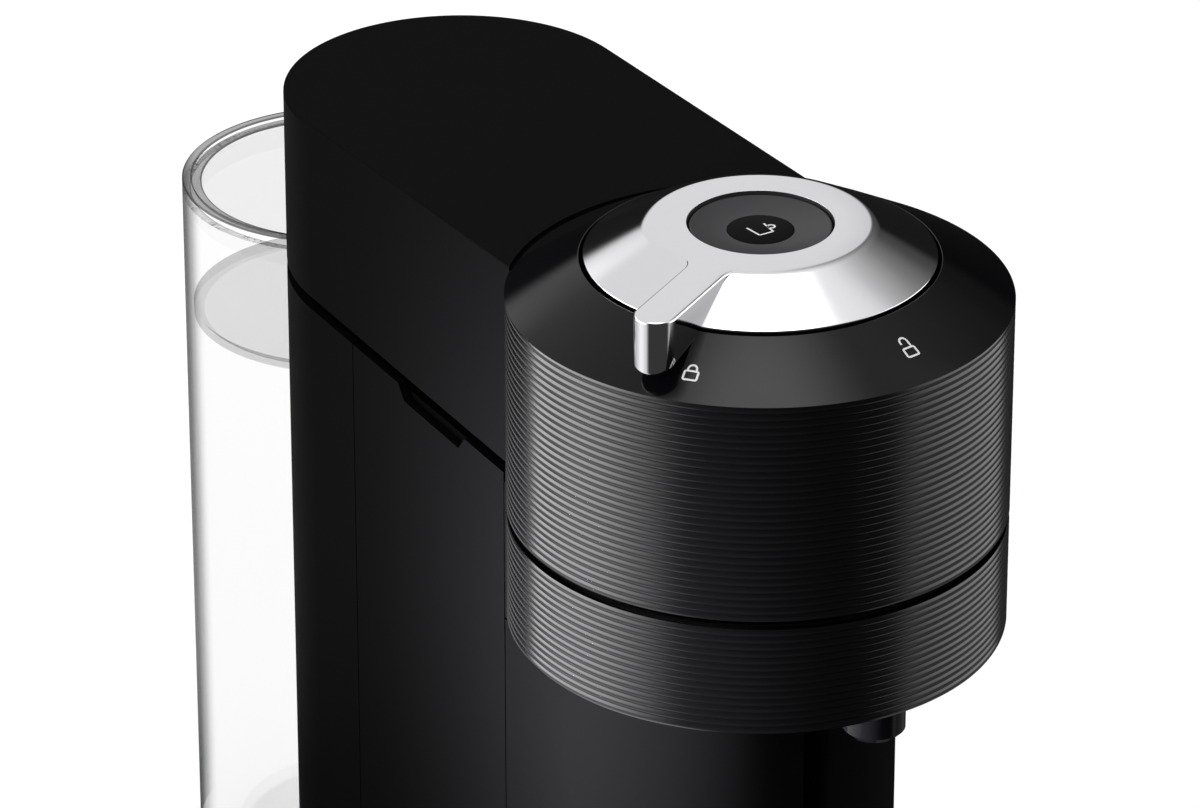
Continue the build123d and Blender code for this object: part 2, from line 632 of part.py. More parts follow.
# Two ball bearings in the hub, drawn as plain rings
with BuildPart() as rotor_bearings:
    for rise in (0, BEARING_SPACING):
        with BuildSketch(Plane.XY.offset(LOWER_BOTTOM + rise)):
            with Locations((0, DRUM_Y)):
                Circle(BEARING_RADIUS)
                Circle(SHAFT_RADIUS + RUNNING_FIT, mode=Mode.SUBTRACT)
        extrude(amount=BEARING_HEIGHT)
rotor_bearings.part.label = "rotor_bearings"
export_step(rotor_bearings.part, "parts/rotor_bearings.step")

# Code reader on the bowl floor behind the capsule
with BuildPart() as code_reader:
    with Locations((0, DRUM_Y + DRUM_BORE - READER_INSET, BOWL_FLOOR_TOP)):
        Box(READER_WIDTH, READER_DEPTH, READER_HEIGHT, align=(Align.CENTER, Align.CENTER, Align.MIN))
    chamfer(code_reader.faces().sort_by(Axis.Z)[-1].edges(), READER_HEIGHT / 6)
code_reader.part.label = "code_reader"
export_step(code_reader.part, "parts/code_reader.step")

# Capsule holder: spinning cup with its shaft
HOLDER_RIM = LOWER_TOP - HOLDER_RIM_DROP
HOLDER_BASE = HUB_TOP + 2 * FIT
SHAFT_END = DRIVE_FLOOR + WALL + FIT
with BuildPart() as capsule_holder:
    with BuildSketch(DRUM_PLANE):
        Polygon(
            (0, SHAFT_END),
            (SHAFT_RADIUS, SHAFT_END),
            (SHAFT_RADIUS, HOLDER_BASE),
            (HOLDER_FLOOR_RADIUS + HOLDER_WALL, HOLDER_BASE),
            (HOLDER_CUP_RADIUS + HOLDER_WALL, HOLDER_RIM - HOLDER_FLANGE),
            (HOLDER_RADIUS, HOLDER_RIM - HOLDER_FLANGE),
            (HOLDER_RADIUS, HOLDER_RIM),
            (HOLDER_CUP_RADIUS, HOLDER_RIM),
            (HOLDER_FLOOR_RADIUS, HOLDER_BASE + HOLDER_WALL),
            (0, HOLDER_BASE + HOLDER_WALL),
            align=None,
        )
    revolve(axis=DRUM_AXIS)
capsule_holder.part.label = "capsule_holder"
export_step(capsule_holder.part, "parts/capsule_holder.step")

# Driven pulley on the holder's shaft
with BuildPart() as driven_pulley:
    with BuildSketch(Plane.XY.offset(PULLEY_LOW)):
        with Locations((0, DRUM_Y)):
            Circle(DRIVEN_RADIUS)
            Circle(SHAFT_RADIUS + RUNNING_FIT, mode=Mode.SUBTRACT)
            with PolarLocations((DRIVEN_RADIUS + SHAFT_RADIUS) / 2, 6):
                Circle((DRIVEN_RADIUS - SHAFT_RADIUS) / 5, mode=Mode.SUBTRACT)
    extrude(amount=PULLEY_WIDTH)
driven_pulley.part.label = "driven_pulley"
export_step(driven_pulley.part, "parts/driven_pulley.step")

# Drive motor under the chassis shelf
MOTOR_TOP = DRIVE_FLOOR - CHASSIS_PLATE
with BuildPart() as drive_motor:
    with BuildSketch(Plane.XY.offset(MOTOR_TOP - MOTOR_HEIGHT)):
        with Locations((0, MOTOR_Y)):
            Circle(MOTOR_RADIUS)
    extrude(amount=MOTOR_HEIGHT)
    chamfer(drive_motor.edges().group_by(Axis.Z)[0], DRUM_WALL / 2)
    with BuildSketch(Plane.XY.offset(MOTOR_TOP)):
        with Locations((0, MOTOR_Y)):
            Circle(MOTOR_SHAFT_RADIUS + RUNNING_FIT)
    extrude(amount=-MOTOR_SHAFT_LENGTH, mode=Mode.SUBTRACT)
drive_motor.part.label = "drive_motor"
export_step(drive_motor.part, "parts/drive_motor.step")

# Motor pulley with its shaft
with BuildPart() as motor_pulley:
    with BuildSketch(Plane.XY.offset(PULLEY_LOW)):
        with Locations((0, MOTOR_Y)):
            Circle(MOTOR_PULLEY_RADIUS)
    extrude(amount=PULLEY_WIDTH)
    with BuildSketch(Plane.XY.offset(PULLEY_LOW)):
        with Locations((0, MOTOR_Y)):
            Circle(MOTOR_SHAFT_RADIUS)
    extrude(amount=MOTOR_TOP - MOTOR_SHAFT_LENGTH + FIT - PULLEY_LOW)
motor_pulley.part.label = "motor_pulley"
export_step(motor_pulley.part, "parts/motor_pulley.step")

# Drive belt, a flat loop that stays in place while the pulleys turn inside it
with BuildPart() as drive_belt:
    with BuildSketch(Plane.XY.offset(PULLEY_LOW + (PULLEY_WIDTH - BELT_WIDTH) / 2)):
        add(BELT_OUTER)
        add(BELT_INNER, mode=Mode.SUBTRACT)
    extrude(amount=BELT_WIDTH)
drive_belt.part.label = "drive_belt"
export_step(drive_belt.part, "parts/drive_belt.step")

# Drive cover: closes the pulley space under the lower drum
with BuildPart() as drive_cover:
    with BuildSketch(Plane.XY.offset(DRIVE_FLOOR)):
        add(FRONT_OUTER)
    extrude(amount=LOWER_BOTTOM - DRIVE_FLOOR)
    with BuildSketch(Plane.XY.offset(DRIVE_FLOOR + WALL)):
        add(COVER_INNER)
    extrude(amount=LOWER_BOTTOM - DRIVE_FLOOR, mode=Mode.SUBTRACT)
drive_cover.part.label = "drive_cover"
export_step(drive_cover.part, "parts/drive_cover.step")

# Coffee spout under the front of the bowl
SPOUT_END = LOWER_BOTTOM - SPOUT_LENGTH
with BuildPart() as spout:
    with BuildSketch(SPOUT_PLANE):
        Polygon(
            (SPOUT_BORE, LOWER_BOTTOM),
            (SPOUT_RADIUS, LOWER_BOTTOM),
            (SPOUT_RADIUS, SPOUT_END + SPOUT_CHAMFER),
            (SPOUT_RADIUS - SPOUT_CHAMFER, SPOUT_END),
            (SPOUT_BORE, SPOUT_END),
            align=None,
        )
    revolve(axis=SPOUT_AXIS)
spout.part.label = "spout"
export_step(spout.part, "parts/spout.step")

# Used-capsule container: the column's front, an open bin with a guide groove down its nose
CONTAINER_LOW = BASE_TOP + FIT
NOSE_Y = COLUMN_FRONT_Y - NECK_HALF_WIDTH
with BuildPart() as capsule_container:
    with BuildSketch(Plane.XY.offset(CONTAINER_LOW)):
        add(FRONT_OUTER)
        with Locations((0, NOSE_Y)):
            Rectangle(GROOVE_WIDTH, 2 * GROOVE_DEPTH, mode=Mode.SUBTRACT)
    extrude(amount=CONTAINER_TOP - CONTAINER_LOW)
    with BuildSketch(Plane.XY.offset(CONTAINER_LOW + WALL)):
        add(FRONT_INNER)
        with Locations((0, NOSE_Y)):
            Rectangle(GROOVE_WIDTH + 2 * WALL, 2 * (GROOVE_DEPTH + WALL), mode=Mode.SUBTRACT)
    extrude(amount=CONTAINER_TOP - CONTAINER_LOW, mode=Mode.SUBTRACT)
capsule_container.part.label = "capsule_container"
export_step(capsule_container.part, "parts/capsule_container.step")

# Cup support: round drip tray with a tongue in the container's groove
TRAY_LOW = BASE_TOP + FIT
TRAY_TOP = TRAY_LOW + CUP_TRAY_HEIGHT
GRID_LOW = TRAY_TOP - GRID_THICKNESS - FIT
TONGUE_REAR_Y = NOSE_Y + GROOVE_DEPTH - FIT
TONGUE_FRONT_Y = NOSE_Y - CUP_TRAY_WALL
with BuildPart() as cup_support:
    with BuildSketch(Plane.XY.offset(TRAY_LOW)):
        add(TRAY_OUTER)
    extrude(amount=CUP_TRAY_HEIGHT)
    with BuildSketch(Plane.XY.offset(TRAY_LOW + CUP_TRAY_WALL)):
        add(TRAY_WELL)
    extrude(amount=CUP_TRAY_HEIGHT, mode=Mode.SUBTRACT)
    with BuildSketch(Plane.XY.offset(GRID_LOW)):
        add(TRAY_INNER)
    extrude(amount=CUP_TRAY_HEIGHT, mode=Mode.SUBTRACT)
    with BuildSketch(Plane.XY.offset(TRAY_LOW)):
        with Locations((0, (TONGUE_FRONT_Y + TONGUE_REAR_Y) / 2)):
            Rectangle(GROOVE_WIDTH - 2 * FIT, TONGUE_REAR_Y - TONGUE_FRONT_Y)
    extrude(amount=CUP_TRAY_HEIGHT)
cup_support.part.label = "cup_support"
export_step(cup_support.part, "parts/cup_support.step")

# Drip grid on the tray's ledge
with BuildPart() as drip_grid:
    with BuildSketch(Plane.XY.offset(GRID_LOW)):
        add(GRID_OUTER)
        with BuildSketch(mode=Mode.SUBTRACT):
            add(GRID_FIELD)
            slot_count = int(2 * BASE_FRONT_RADIUS / GRID_SLOT_PITCH) + 1
            with Locations((0, BASE_FRONT_Y)):
                with GridLocations(GRID_SLOT_PITCH, 0, slot_count, 1):
                    Rectangle(GRID_SLOT_PITCH - GRID_SLOT_WIDTH, 2 * BASE_FRONT_RADIUS, mode=Mode.SUBTRACT)
    extrude(amount=GRID_THICKNESS)
drip_grid.part.label = "drip_grid"
export_step(drip_grid.part, "parts/drip_grid.step")

# Water tank: clear round jar with a valve hole low in its front wall
TANK_LOW = SEAT_LEVEL + FIT
TANK_BORE = TANK_RADIUS - TANK_WALL
with BuildPart() as water_tank:
    with BuildSketch(TANK_PLANE):
        Polygon(
            (0, TANK_LOW),
            (TANK_RADIUS, TANK_LOW),
            (TANK_RADIUS, TANK_TOP),
            (TANK_BORE, TANK_TOP),
            (TANK_BORE, TANK_LOW + TANK_FLOOR),
            (0, TANK_LOW + TANK_FLOOR),
            align=None,
        )
    revolve(axis=TANK_AXIS)
    with BuildSketch(Plane.XZ.offset(-TANK_FRONT_Y + TANK_WALL)):
        with Locations((0, VALVE_Z)):
            Circle(VALVE_RADIUS + CONTACT)
    extrude(amount=-4 * TANK_WALL, mode=Mode.SUBTRACT)
water_tank.part.label = "water_tank"
export_step(water_tank.part, "parts/water_tank.step")

# Tank lid: stepped clear rim, sunk plate and a plug ring inside the jar
PLUG_RADIUS = TANK_BORE - FIT
PLATE_RADIUS = TANK_RADIUS - 2 * LID_BAND
with BuildPart() as tank_lid:
    with BuildSketch(TANK_PLANE):
        Polygon(
            (0, TANK_TOP),
            (PLUG_RADIUS - LID_PLATE, TANK_TOP),
            (PLUG_RADIUS - LID_PLATE, TANK_TOP - LID_PLUG_DEPTH),
            (PLUG_RADIUS, TANK_TOP - LID_PLUG_DEPTH),
            (PLUG_RADIUS, TANK_TOP),
            (TANK_RADIUS, TANK_TOP),
            (TANK_RADIUS, LID_TOP),
            (TANK_RADIUS - LID_BAND, LID_TOP),
            (TANK_RADIUS - LID_BAND, LID_TOP - LID_STEP),
            (PLATE_RADIUS, LID_TOP - LID_STEP),
            (PLATE_RADIUS, TANK_TOP + LID_PLATE),
            (0, TANK_TOP + LID_PLATE),
            align=None,
        )
    revolve(axis=TANK_AXIS)
tank_lid.part.label = "tank_lid"
export_step(tank_lid.part, "parts/tank_lid.step")

# Tank valve: a socket for the dock's spigot, held by a flange inside the jar
VALVE_FRONT_Y = TANK_FRONT_Y + CONTACT
FLANGE_Y = TANK_Y - sqrt(TANK_BORE**2 - (VALVE_RADIUS + VALVE_FLANGE) ** 2) + CONTACT
with BuildPart() as tank_valve:
    with BuildSketch(Plane.XZ.offset(-VALVE_FRONT_Y)):
        with Locations((0, VALVE_Z)):
            Circle(VALVE_RADIUS)
    extrude(amount=-VALVE_LENGTH)
    with BuildSketch(Plane.XZ.offset(-FLANGE_Y)):
        with Locations((0, VALVE_Z)):
            Circle(VALVE_RADIUS + VALVE_FLANGE)
    extrude(amount=-VALVE_FLANGE)
    with BuildSketch(Plane.XZ.offset(-VALVE_FRONT_Y)):
        with Locations((0, VALVE_Z)):
            Circle(SPIGOT_RADIUS + FIT)
    extrude(amount=-VALVE_SOCKET_DEPTH, mode=Mode.SUBTRACT)
tank_valve.part.label = "tank_valve"
export_step(tank_valve.part, "parts/tank_valve.step")

# Tank dock: spigot through the rear wall, with a flange inside the column
DOCK_FLANGE_Y = TANK_FRONT_Y - TANK_GAP - WALL - FIT
METER_REAR_Y = CHASSIS_REAR_Y - FIT
with BuildPart() as tank_dock:
    with BuildSketch(Plane.XZ.offset(-METER_REAR_Y)):
        with Locations((0, VALVE_Z)):
            Circle(SPIGOT_RADIUS)
    extrude(amount=METER_REAR_Y - TANK_FRONT_Y - SPIGOT_REACH)
    with BuildSketch(Plane.XZ.offset(-DOCK_FLANGE_Y)):
        with Locations((0, VALVE_Z)):
            Circle(SPIGOT_RADIUS + SPIGOT_FLANGE)
    extrude(amount=SPIGOT_FLANGE)
    with BuildSketch(Plane.XZ.offset(-METER_REAR_Y)):
        with Locations((0, VALVE_Z)):
            Circle(SPIGOT_BORE)
    extrude(amount=METER_REAR_Y - TANK_FRONT_Y - SPIGOT_REACH, mode=Mode.SUBTRACT)
tank_dock.part.label = "tank_dock"
export_step(tank_dock.part, "parts/tank_dock.step")

# Flow meter between dock and pump
METER_Y = METER_REAR_Y - FLOW_METER_LENGTH / 2
with BuildPart() as flow_meter:
    with Locations((0, METER_Y, CHASSIS_TOP)):
        Box(
            FLOW_METER_WIDTH,
            FLOW_METER_LENGTH,
            FLOW_METER_HEIGHT,
            align=(Align.CENTER, Align.CENTER, Align.MIN),
        )
    chamfer(flow_meter.edges().group_by(Axis.Z)[-1], DRUM_WALL / 2)
flow_meter.part.label = "flow_meter"
export_step(flow_meter.part, "parts/flow_meter.step")

# Rubber mount under the pump
with BuildPart() as pump_mount:
    with Locations((PUMP_X, PUMP_Y, CHASSIS_TOP)):
        Cylinder(PUMP_MOUNT_RADIUS, PUMP_MOUNT_HEIGHT, align=(Align.CENTER, Align.CENTER, Align.MIN))
pump_mount.part.label = "pump_mount"
export_step(pump_mount.part, "parts/pump_mount.step")

# Water pump: coil, tail, outlet on top and inlet at the rear
PUMP_LOW = CHASSIS_TOP + PUMP_MOUNT_HEIGHT
TAIL_LOW = PUMP_LOW + PUMP_COIL_HEIGHT
PUMP_TOP = TAIL_LOW + PUMP_TAIL_HEIGHT + PORT_LENGTH
INLET_Y = PUMP_Y + PUMP_COIL_RADIUS + PORT_LENGTH / 2
INLET_Z = PUMP_LOW + PUMP_COIL_HEIGHT / 4
with BuildPart() as water_pump:
    for radius, low, high in (
        (PUMP_COIL_RADIUS, PUMP_LOW, TAIL_LOW),
        (PUMP_TAIL_RADIUS, TAIL_LOW, PUMP_TOP - PORT_LENGTH),
        (PORT_RADIUS, PUMP_TOP - PORT_LENGTH, PUMP_TOP),
    ):
        with Locations((PUMP_X, PUMP_Y, low)):
            Cylinder(radius, high - low, align=(Align.CENTER, Align.CENTER, Align.MIN))
    with BuildSketch(Plane.XZ.offset(-INLET_Y)):
        with Locations((PUMP_X, INLET_Z)):
            Circle(PORT_RADIUS)
    extrude(amount=PORT_LENGTH)
water_pump.part.label = "water_pump"
export_step(water_pump.part, "parts/water_pump.step")

# Heater block with cooling grooves and two ports on top
HEATER_TOP = CHASSIS_TOP + HEATER_HEIGHT
with BuildPart() as heater_block:
    with Locations((HEATER_X, PUMP_Y, CHASSIS_TOP)):
        Cylinder(HEATER_RADIUS, HEATER_HEIGHT, align=(Align.CENTER, Align.CENTER, Align.MIN))
    groove_count = int(HEATER_HEIGHT / HEATER_FIN_PITCH) - 1
    for groove in range(1, groove_count + 1):
        with BuildSketch(Plane.XY.offset(CHASSIS_TOP + groove * HEATER_FIN_PITCH)):
            with Locations((HEATER_X, PUMP_Y)):
                Circle(HEATER_RADIUS + HEATER_FIN_DEPTH)
                Circle(HEATER_RADIUS - HEATER_FIN_DEPTH, mode=Mode.SUBTRACT)
        extrude(amount=HEATER_FIN_PITCH / 3, mode=Mode.SUBTRACT)
    for side in (-1, 1):
        with Locations((HEATER_X + side * HEATER_PORT_SPACING / 2, PUMP_Y, HEATER_TOP)):
            Cylinder(PORT_RADIUS, PORT_LENGTH, align=(Align.CENTER, Align.CENTER, Align.MIN))
heater_block.part.label = "heater_block"
export_step(heater_block.part, "parts/heater_block.step")

# Hoses in the column: meter to pump, pump to heater, heater to deck
PORT_TOP = HEATER_TOP + PORT_LENGTH
HEATER_IN_X = HEATER_X - HEATER_PORT_SPACING / 2
HEATER_OUT_X = HEATER_X + HEATER_PORT_SPACING / 2
METER_SIDE_X = -FLOW_METER_WIDTH / 2
RISER_TOP = sloped_height(DECK_UNDERSIDE, PUMP_Y - HOSE_RADIUS) - FIT
with BuildPart() as suction_hose:
    with BuildLine():
        FilletPolyline(
            (PUMP_X, INLET_Y, INLET_Z), (PUMP_X, METER_Y, INLET_Z), (METER_SIDE_X, METER_Y, INLET_Z),
            radius=HOSE_BEND / 2,
        )
    with BuildSketch(Plane(origin=(PUMP_X, INLET_Y, INLET_Z), z_dir=(0, 1, 0))):
        Circle(HOSE_RADIUS)
    sweep()
suction_hose.part.label = "suction_hose"
export_step(suction_hose.part, "parts/suction_hose.step")

with BuildPart() as heater_hose:
    with BuildLine():
        FilletPolyline(
            (PUMP_X, PUMP_Y, PUMP_TOP),
            (PUMP_X, PUMP_Y, PUMP_TOP + HOSE_RISE),
            (HEATER_IN_X, PUMP_Y, PUMP_TOP + HOSE_RISE),
            (HEATER_IN_X, PUMP_Y, PORT_TOP),
            radius=HOSE_BEND,
        )
    with BuildSketch(Plane.XY.offset(PUMP_TOP)):
        with Locations((PUMP_X, PUMP_Y)):
            Circle(HOSE_RADIUS)
    sweep()
heater_hose.part.label = "heater_hose"
export_step(heater_hose.part, "parts/heater_hose.step")

with BuildPart() as riser_hose:
    with BuildSketch(Plane.XY.offset(PORT_TOP)):
        with Locations((HEATER_OUT_X, PUMP_Y)):
            Circle(HOSE_RADIUS)
    extrude(amount=RISER_TOP - PORT_TOP)
riser_hose.part.label = "riser_hose"
export_step(riser_hose.part, "parts/riser_hose.step")

# Control board on the spine's standoffs, with relays and capacitors
BOARD_Y = SPINE_REAR_Y + STANDOFF_LENGTH
with BuildPart() as control_board:
    with BuildSketch(Plane.XZ.offset(-BOARD_Y)):
        with Locations((0, BOARD_Z)):
            Rectangle(BOARD_WIDTH, BOARD_HEIGHT)
    extrude(amount=-BOARD_THICKNESS)
    with BuildSketch(Plane.XZ.offset(-BOARD_Y - BOARD_THICKNESS)):
        with Locations((-BOARD_WIDTH / 4, BOARD_Z)):
            with GridLocations(0, 1.5 * RELAY_SIZE, 1, 2):
                Rectangle(RELAY_SIZE, RELAY_SIZE)
        with Locations((BOARD_WIDTH / 8, BOARD_Z + BOARD_HEIGHT / 4)):
            Circle(CAPACITOR_RADIUS)
    extrude(amount=-CAPACITOR_HEIGHT)
control_board.part.label = "control_board"
export_step(control_board.part, "parts/control_board.step")

# Cord gland in the right side of the rear cover
with BuildPart() as cord_gland:
    with BuildSketch(Plane.YZ.offset(NECK_BORE - WALL)):
        with Locations((GLAND_Y, GLAND_Z)):
            Circle(GLAND_RADIUS)
    extrude(amount=2 * WALL)
    with BuildSketch(Plane.YZ.offset(NECK_HALF_WIDTH)):
        with Locations((GLAND_Y, GLAND_Z)):
            Circle(GLAND_FLANGE_RADIUS)
    extrude(amount=GLAND_FLANGE)
    chamfer(cord_gland.faces().sort_by(Axis.X)[-1].edges(), GLAND_FLANGE / 3)
    with BuildSketch(Plane.YZ.offset(NECK_BORE - WALL)):
        with Locations((GLAND_Y, GLAND_Z)):
            Circle(GLAND_BORE)
    extrude(amount=4 * WALL, mode=Mode.SUBTRACT)
cord_gland.part.label = "cord_gland"
export_step(cord_gland.part, "parts/cord_gland.step")

# Neck cover: hollow arm behind the drum, its rear edge cut up to clear the tank lid as the head opens
RELIEF_DEPTH = (HINGE_Z - LID_TOP - HEAD_CLEARANCE) / cos(radians(HEAD_OPENING))
RELIEF_LOW = HINGE_Z - RELIEF_DEPTH
RELIEF_RUN = NECK_HALF_WIDTH
with BuildPart() as neck_cover:
    with BuildSketch(Plane.XY.offset(LOWER_BOTTOM)):
        add(NECK_OUTER)
    extrude(amount=NECK_TOP - LOWER_BOTTOM)
    fillet(neck_cover.faces().sort_by(Axis.Z)[-1].edges(), NECK_EDGE)
    with BuildSketch(Plane.XY.offset(LOWER_BOTTOM)):
        add(NECK_INNER)
    extrude(amount=NECK_TOP - WALL - LOWER_BOTTOM, mode=Mode.SUBTRACT)
    with BuildSketch(Plane.XY.offset(LOWER_BOTTOM)):
        with Locations((0, DRUM_Y)):
            Circle(DRUM_RADIUS + CONTACT)
    extrude(amount=HEIGHT - LOWER_BOTTOM, mode=Mode.SUBTRACT)
    split(bisect_by=NECK_PLANE, keep=Keep.TOP)
    with BuildSketch(Plane.YZ):
        Polygon(
            (HINGE_Y, RELIEF_LOW),
            (HINGE_Y + RELIEF_RUN, RELIEF_LOW + RELIEF_RUN * tan(radians(HEAD_OPENING))),
            (HINGE_Y + RELIEF_RUN, LOWER_BOTTOM),
            (HINGE_Y, LOWER_BOTTOM),
            align=None,
        )
    extrude(amount=DRUM_RADIUS, both=True, mode=Mode.SUBTRACT)
neck_cover.part.label = "neck_cover"
export_step(neck_cover.part, "parts/neck_cover.step")

# Neck underplate: closes the neck from below, slotted for the hinge arms
SLOT_FRONT_Y = ARM_FRONT_Y - 2 * ARM_SLOT_CLEARANCE
SLOT_WIDTH = ARM_THICKNESS + 2 * ARM_SLOT_CLEARANCE
UNDERPLATE_REAR_Y = HINGE_Y - HINGE_BOSS_RADIUS
with BuildPart() as neck_underplate:
    with BuildSketch(Plane.XY.offset(LOWER_BOTTOM)):
        add(UNDERPLATE_PLAN)
        with Locations((0, DRUM_Y)):
            Circle(DRUM_RADIUS + FIT, mode=Mode.SUBTRACT)
        with Locations((0, UNDERPLATE_REAR_Y + DRUM_RADIUS)):
            Rectangle(2 * DRUM_RADIUS, 2 * DRUM_RADIUS, mode=Mode.SUBTRACT)
        for side in (-1, 1):
            with Locations(
                (side * (ARM_INNER_X + ARM_THICKNESS / 2), (SLOT_FRONT_Y + UNDERPLATE_REAR_Y) / 2 + 1)
            ):
                Rectangle(SLOT_WIDTH, UNDERPLATE_REAR_Y - SLOT_FRONT_Y + 2, mode=Mode.SUBTRACT)
    extrude(amount=HEIGHT - LOWER_BOTTOM)
    split(bisect_by=NECK_PLANE, keep=Keep.TOP)
    split(bisect_by=NECK_PLANE.offset(UNDERPLATE_THICKNESS), keep=Keep.BOTTOM)
neck_underplate.part.label = "neck_underplate"
export_step(neck_underplate.part, "parts/neck_underplate.step")

# Hinge lugs: bracket under the neck's roof with two lugs on the pin
ROOF_Z = NECK_TOP - WALL
with BuildPart() as hinge_lugs:
    with BuildSketch(Plane.YZ.offset(LUG_INNER_X)):
        with Locations((HINGE_Y, (HINGE_Z + ROOF_Z) / 2)):
            Rectangle(2 * HINGE_BOSS_RADIUS, ROOF_Z - HINGE_Z)
        with Locations((HINGE_Y, HINGE_Z)):
            Circle(HINGE_BOSS_RADIUS)
            Circle(HINGE_PIN_RADIUS + 1.5 * RUNNING_FIT, mode=Mode.SUBTRACT)
    extrude(amount=LUG_THICKNESS)
    mirror(about=Plane.YZ)
    with Locations((0, HINGE_Y, ROOF_Z)):
        Box(
            2 * (LUG_INNER_X + LUG_THICKNESS),
            LUG_PLATE_LENGTH,
            LUG_PLATE_THICKNESS,
            align=(Align.CENTER, Align.CENTER, Align.MAX),
        )
hinge_lugs.part.label = "hinge_lugs"
export_step(hinge_lugs.part, "parts/hinge_lugs.step")

# Upper drum: ribbed ring with a window to the neck
with BuildPart() as upper_drum:
    with BuildSketch(DRUM_PLANE):
        Polygon(*rib_profile(UPPER_BOTTOM, DRUM_TOP), align=None)
    revolve(axis=DRUM_AXIS)
    with BuildSketch(Plane.XZ.offset(-DRUM_Y)):
        with Locations((0, UPPER_BOTTOM + HEAD_PLATE_RISE + HEAD_PLATE + DRUM_WINDOW_HEIGHT / 2)):
            Rectangle(DRUM_WINDOW_WIDTH, DRUM_WINDOW_HEIGHT)
    extrude(amount=-2 * DRUM_RADIUS, mode=Mode.SUBTRACT)
upper_drum.part.label = "upper_drum"
export_step(upper_drum.part, "parts/upper_drum.step")

# Cone ring on top of the drum
RING_INNER_TOP = DRUM_TOP + (DRUM_RADIUS - TOP_RING_BORE) * CONE_SLOPE
RING_WALL_Z = TOP_RING_WALL * sqrt(1 + CONE_SLOPE**2)
RING_FOOT = DRUM_RADIUS - RING_WALL_Z / CONE_SLOPE
with BuildPart() as top_ring:
    with BuildSketch(DRUM_PLANE):
        Polygon(
            (DRUM_RADIUS, DRUM_TOP),
            (TOP_RING_BORE, RING_INNER_TOP),
            (TOP_RING_BORE, RING_INNER_TOP - RING_WALL_Z),
            (RING_FOOT, DRUM_TOP),
            align=None,
        )
    revolve(axis=DRUM_AXIS)
top_ring.part.label = "top_ring"
export_step(top_ring.part, "parts/top_ring.step")

# Head plate: floor of the upper drum with the post that carries lever, button and injection bearing
PLATE_LOW = UPPER_BOTTOM + HEAD_PLATE_RISE
PLATE_TOP = PLATE_LOW + HEAD_PLATE
POST_TOP = HEIGHT - POST_TOP_DROP
BEARING_SEAT = HEAD_BEARING_RADIUS + RUNNING_FIT
SEAT_TOP = PLATE_LOW + HEAD_BEARING_HEIGHT + 2 * FIT
with BuildPart() as head_plate:
    with BuildSketch(DRUM_PLANE):
        Polygon(
            (BEARING_SEAT, PLATE_LOW),
            (DRUM_BORE - FIT, PLATE_LOW),
            (DRUM_BORE - FIT, PLATE_TOP),
            (POST_RADIUS, PLATE_TOP),
            (POST_RADIUS, POST_TOP),
            (STEM_RADIUS + STEM_GAP, POST_TOP),
            (STEM_RADIUS + STEM_GAP, POST_TOP - POST_CAP),
            (POST_BORE, POST_TOP - POST_CAP),
            (POST_BORE, SEAT_TOP + WALL),
            (SHAFT_RADIUS + 2, SEAT_TOP + WALL),
            (SHAFT_RADIUS + 2, SEAT_TOP),
            (BEARING_SEAT, SEAT_TOP),
            align=None,
        )
    revolve(axis=DRUM_AXIS)
head_plate.part.label = "head_plate"
export_step(head_plate.part, "parts/head_plate.step")

# Bearing of the injection plate, drawn as a plain ring
HEAD_BEARING_LOW = PLATE_LOW + FIT
with BuildPart() as injection_bearing:
    with BuildSketch(Plane.XY.offset(HEAD_BEARING_LOW)):
        with Locations((0, DRUM_Y)):
            Circle(HEAD_BEARING_RADIUS)
            Circle(SHAFT_RADIUS + RUNNING_FIT, mode=Mode.SUBTRACT)
    extrude(amount=HEAD_BEARING_HEIGHT)
injection_bearing.part.label = "injection_bearing"
export_step(injection_bearing.part, "parts/injection_bearing.step")

# Injection plate: spinning disc with the piercing needle, on a stub shaft
INJECTION_LOW = HOLDER_RIM + INJECTION_GAP
INJECTION_TOP = INJECTION_LOW + INJECTION_THICKNESS
with BuildPart() as injection_plate:
    with BuildSketch(DRUM_PLANE):
        Polygon(
            (0, INJECTION_LOW - NEEDLE_LENGTH),
            (NEEDLE_RADIUS, INJECTION_LOW),
            (INJECTION_RADIUS - 1, INJECTION_LOW),
            (INJECTION_RADIUS, INJECTION_LOW + 1),
            (INJECTION_RADIUS, INJECTION_TOP),
            (INJECTION_SHOULDER, INJECTION_TOP),
            (INJECTION_SHOULDER, HEAD_BEARING_LOW - FIT),
            (SHAFT_RADIUS, HEAD_BEARING_LOW - FIT),
            (SHAFT_RADIUS, HEAD_BEARING_LOW + HEAD_BEARING_HEIGHT),
            (0, HEAD_BEARING_LOW + HEAD_BEARING_HEIGHT),
            align=None,
        )
    revolve(axis=DRUM_AXIS)
injection_plate.part.label = "injection_plate"
export_step(injection_plate.part, "parts/injection_plate.step")

# Chamber seal under the head plate
with BuildPart() as chamber_seal:
    with BuildSketch(Plane.XY.offset(PLATE_LOW)):
        with Locations((0, DRUM_Y)):
            Circle(SEAL_RADIUS)
            Circle(SEAL_RADIUS - SEAL_WIDTH, mode=Mode.SUBTRACT)
    extrude(amount=-SEAL_HEIGHT)
    chamfer(chamber_seal.edges().group_by(Axis.Z)[0], SEAL_WIDTH / 4)
chamber_seal.part.label = "chamber_seal"
export_step(chamber_seal.part, "parts/chamber_seal.step")

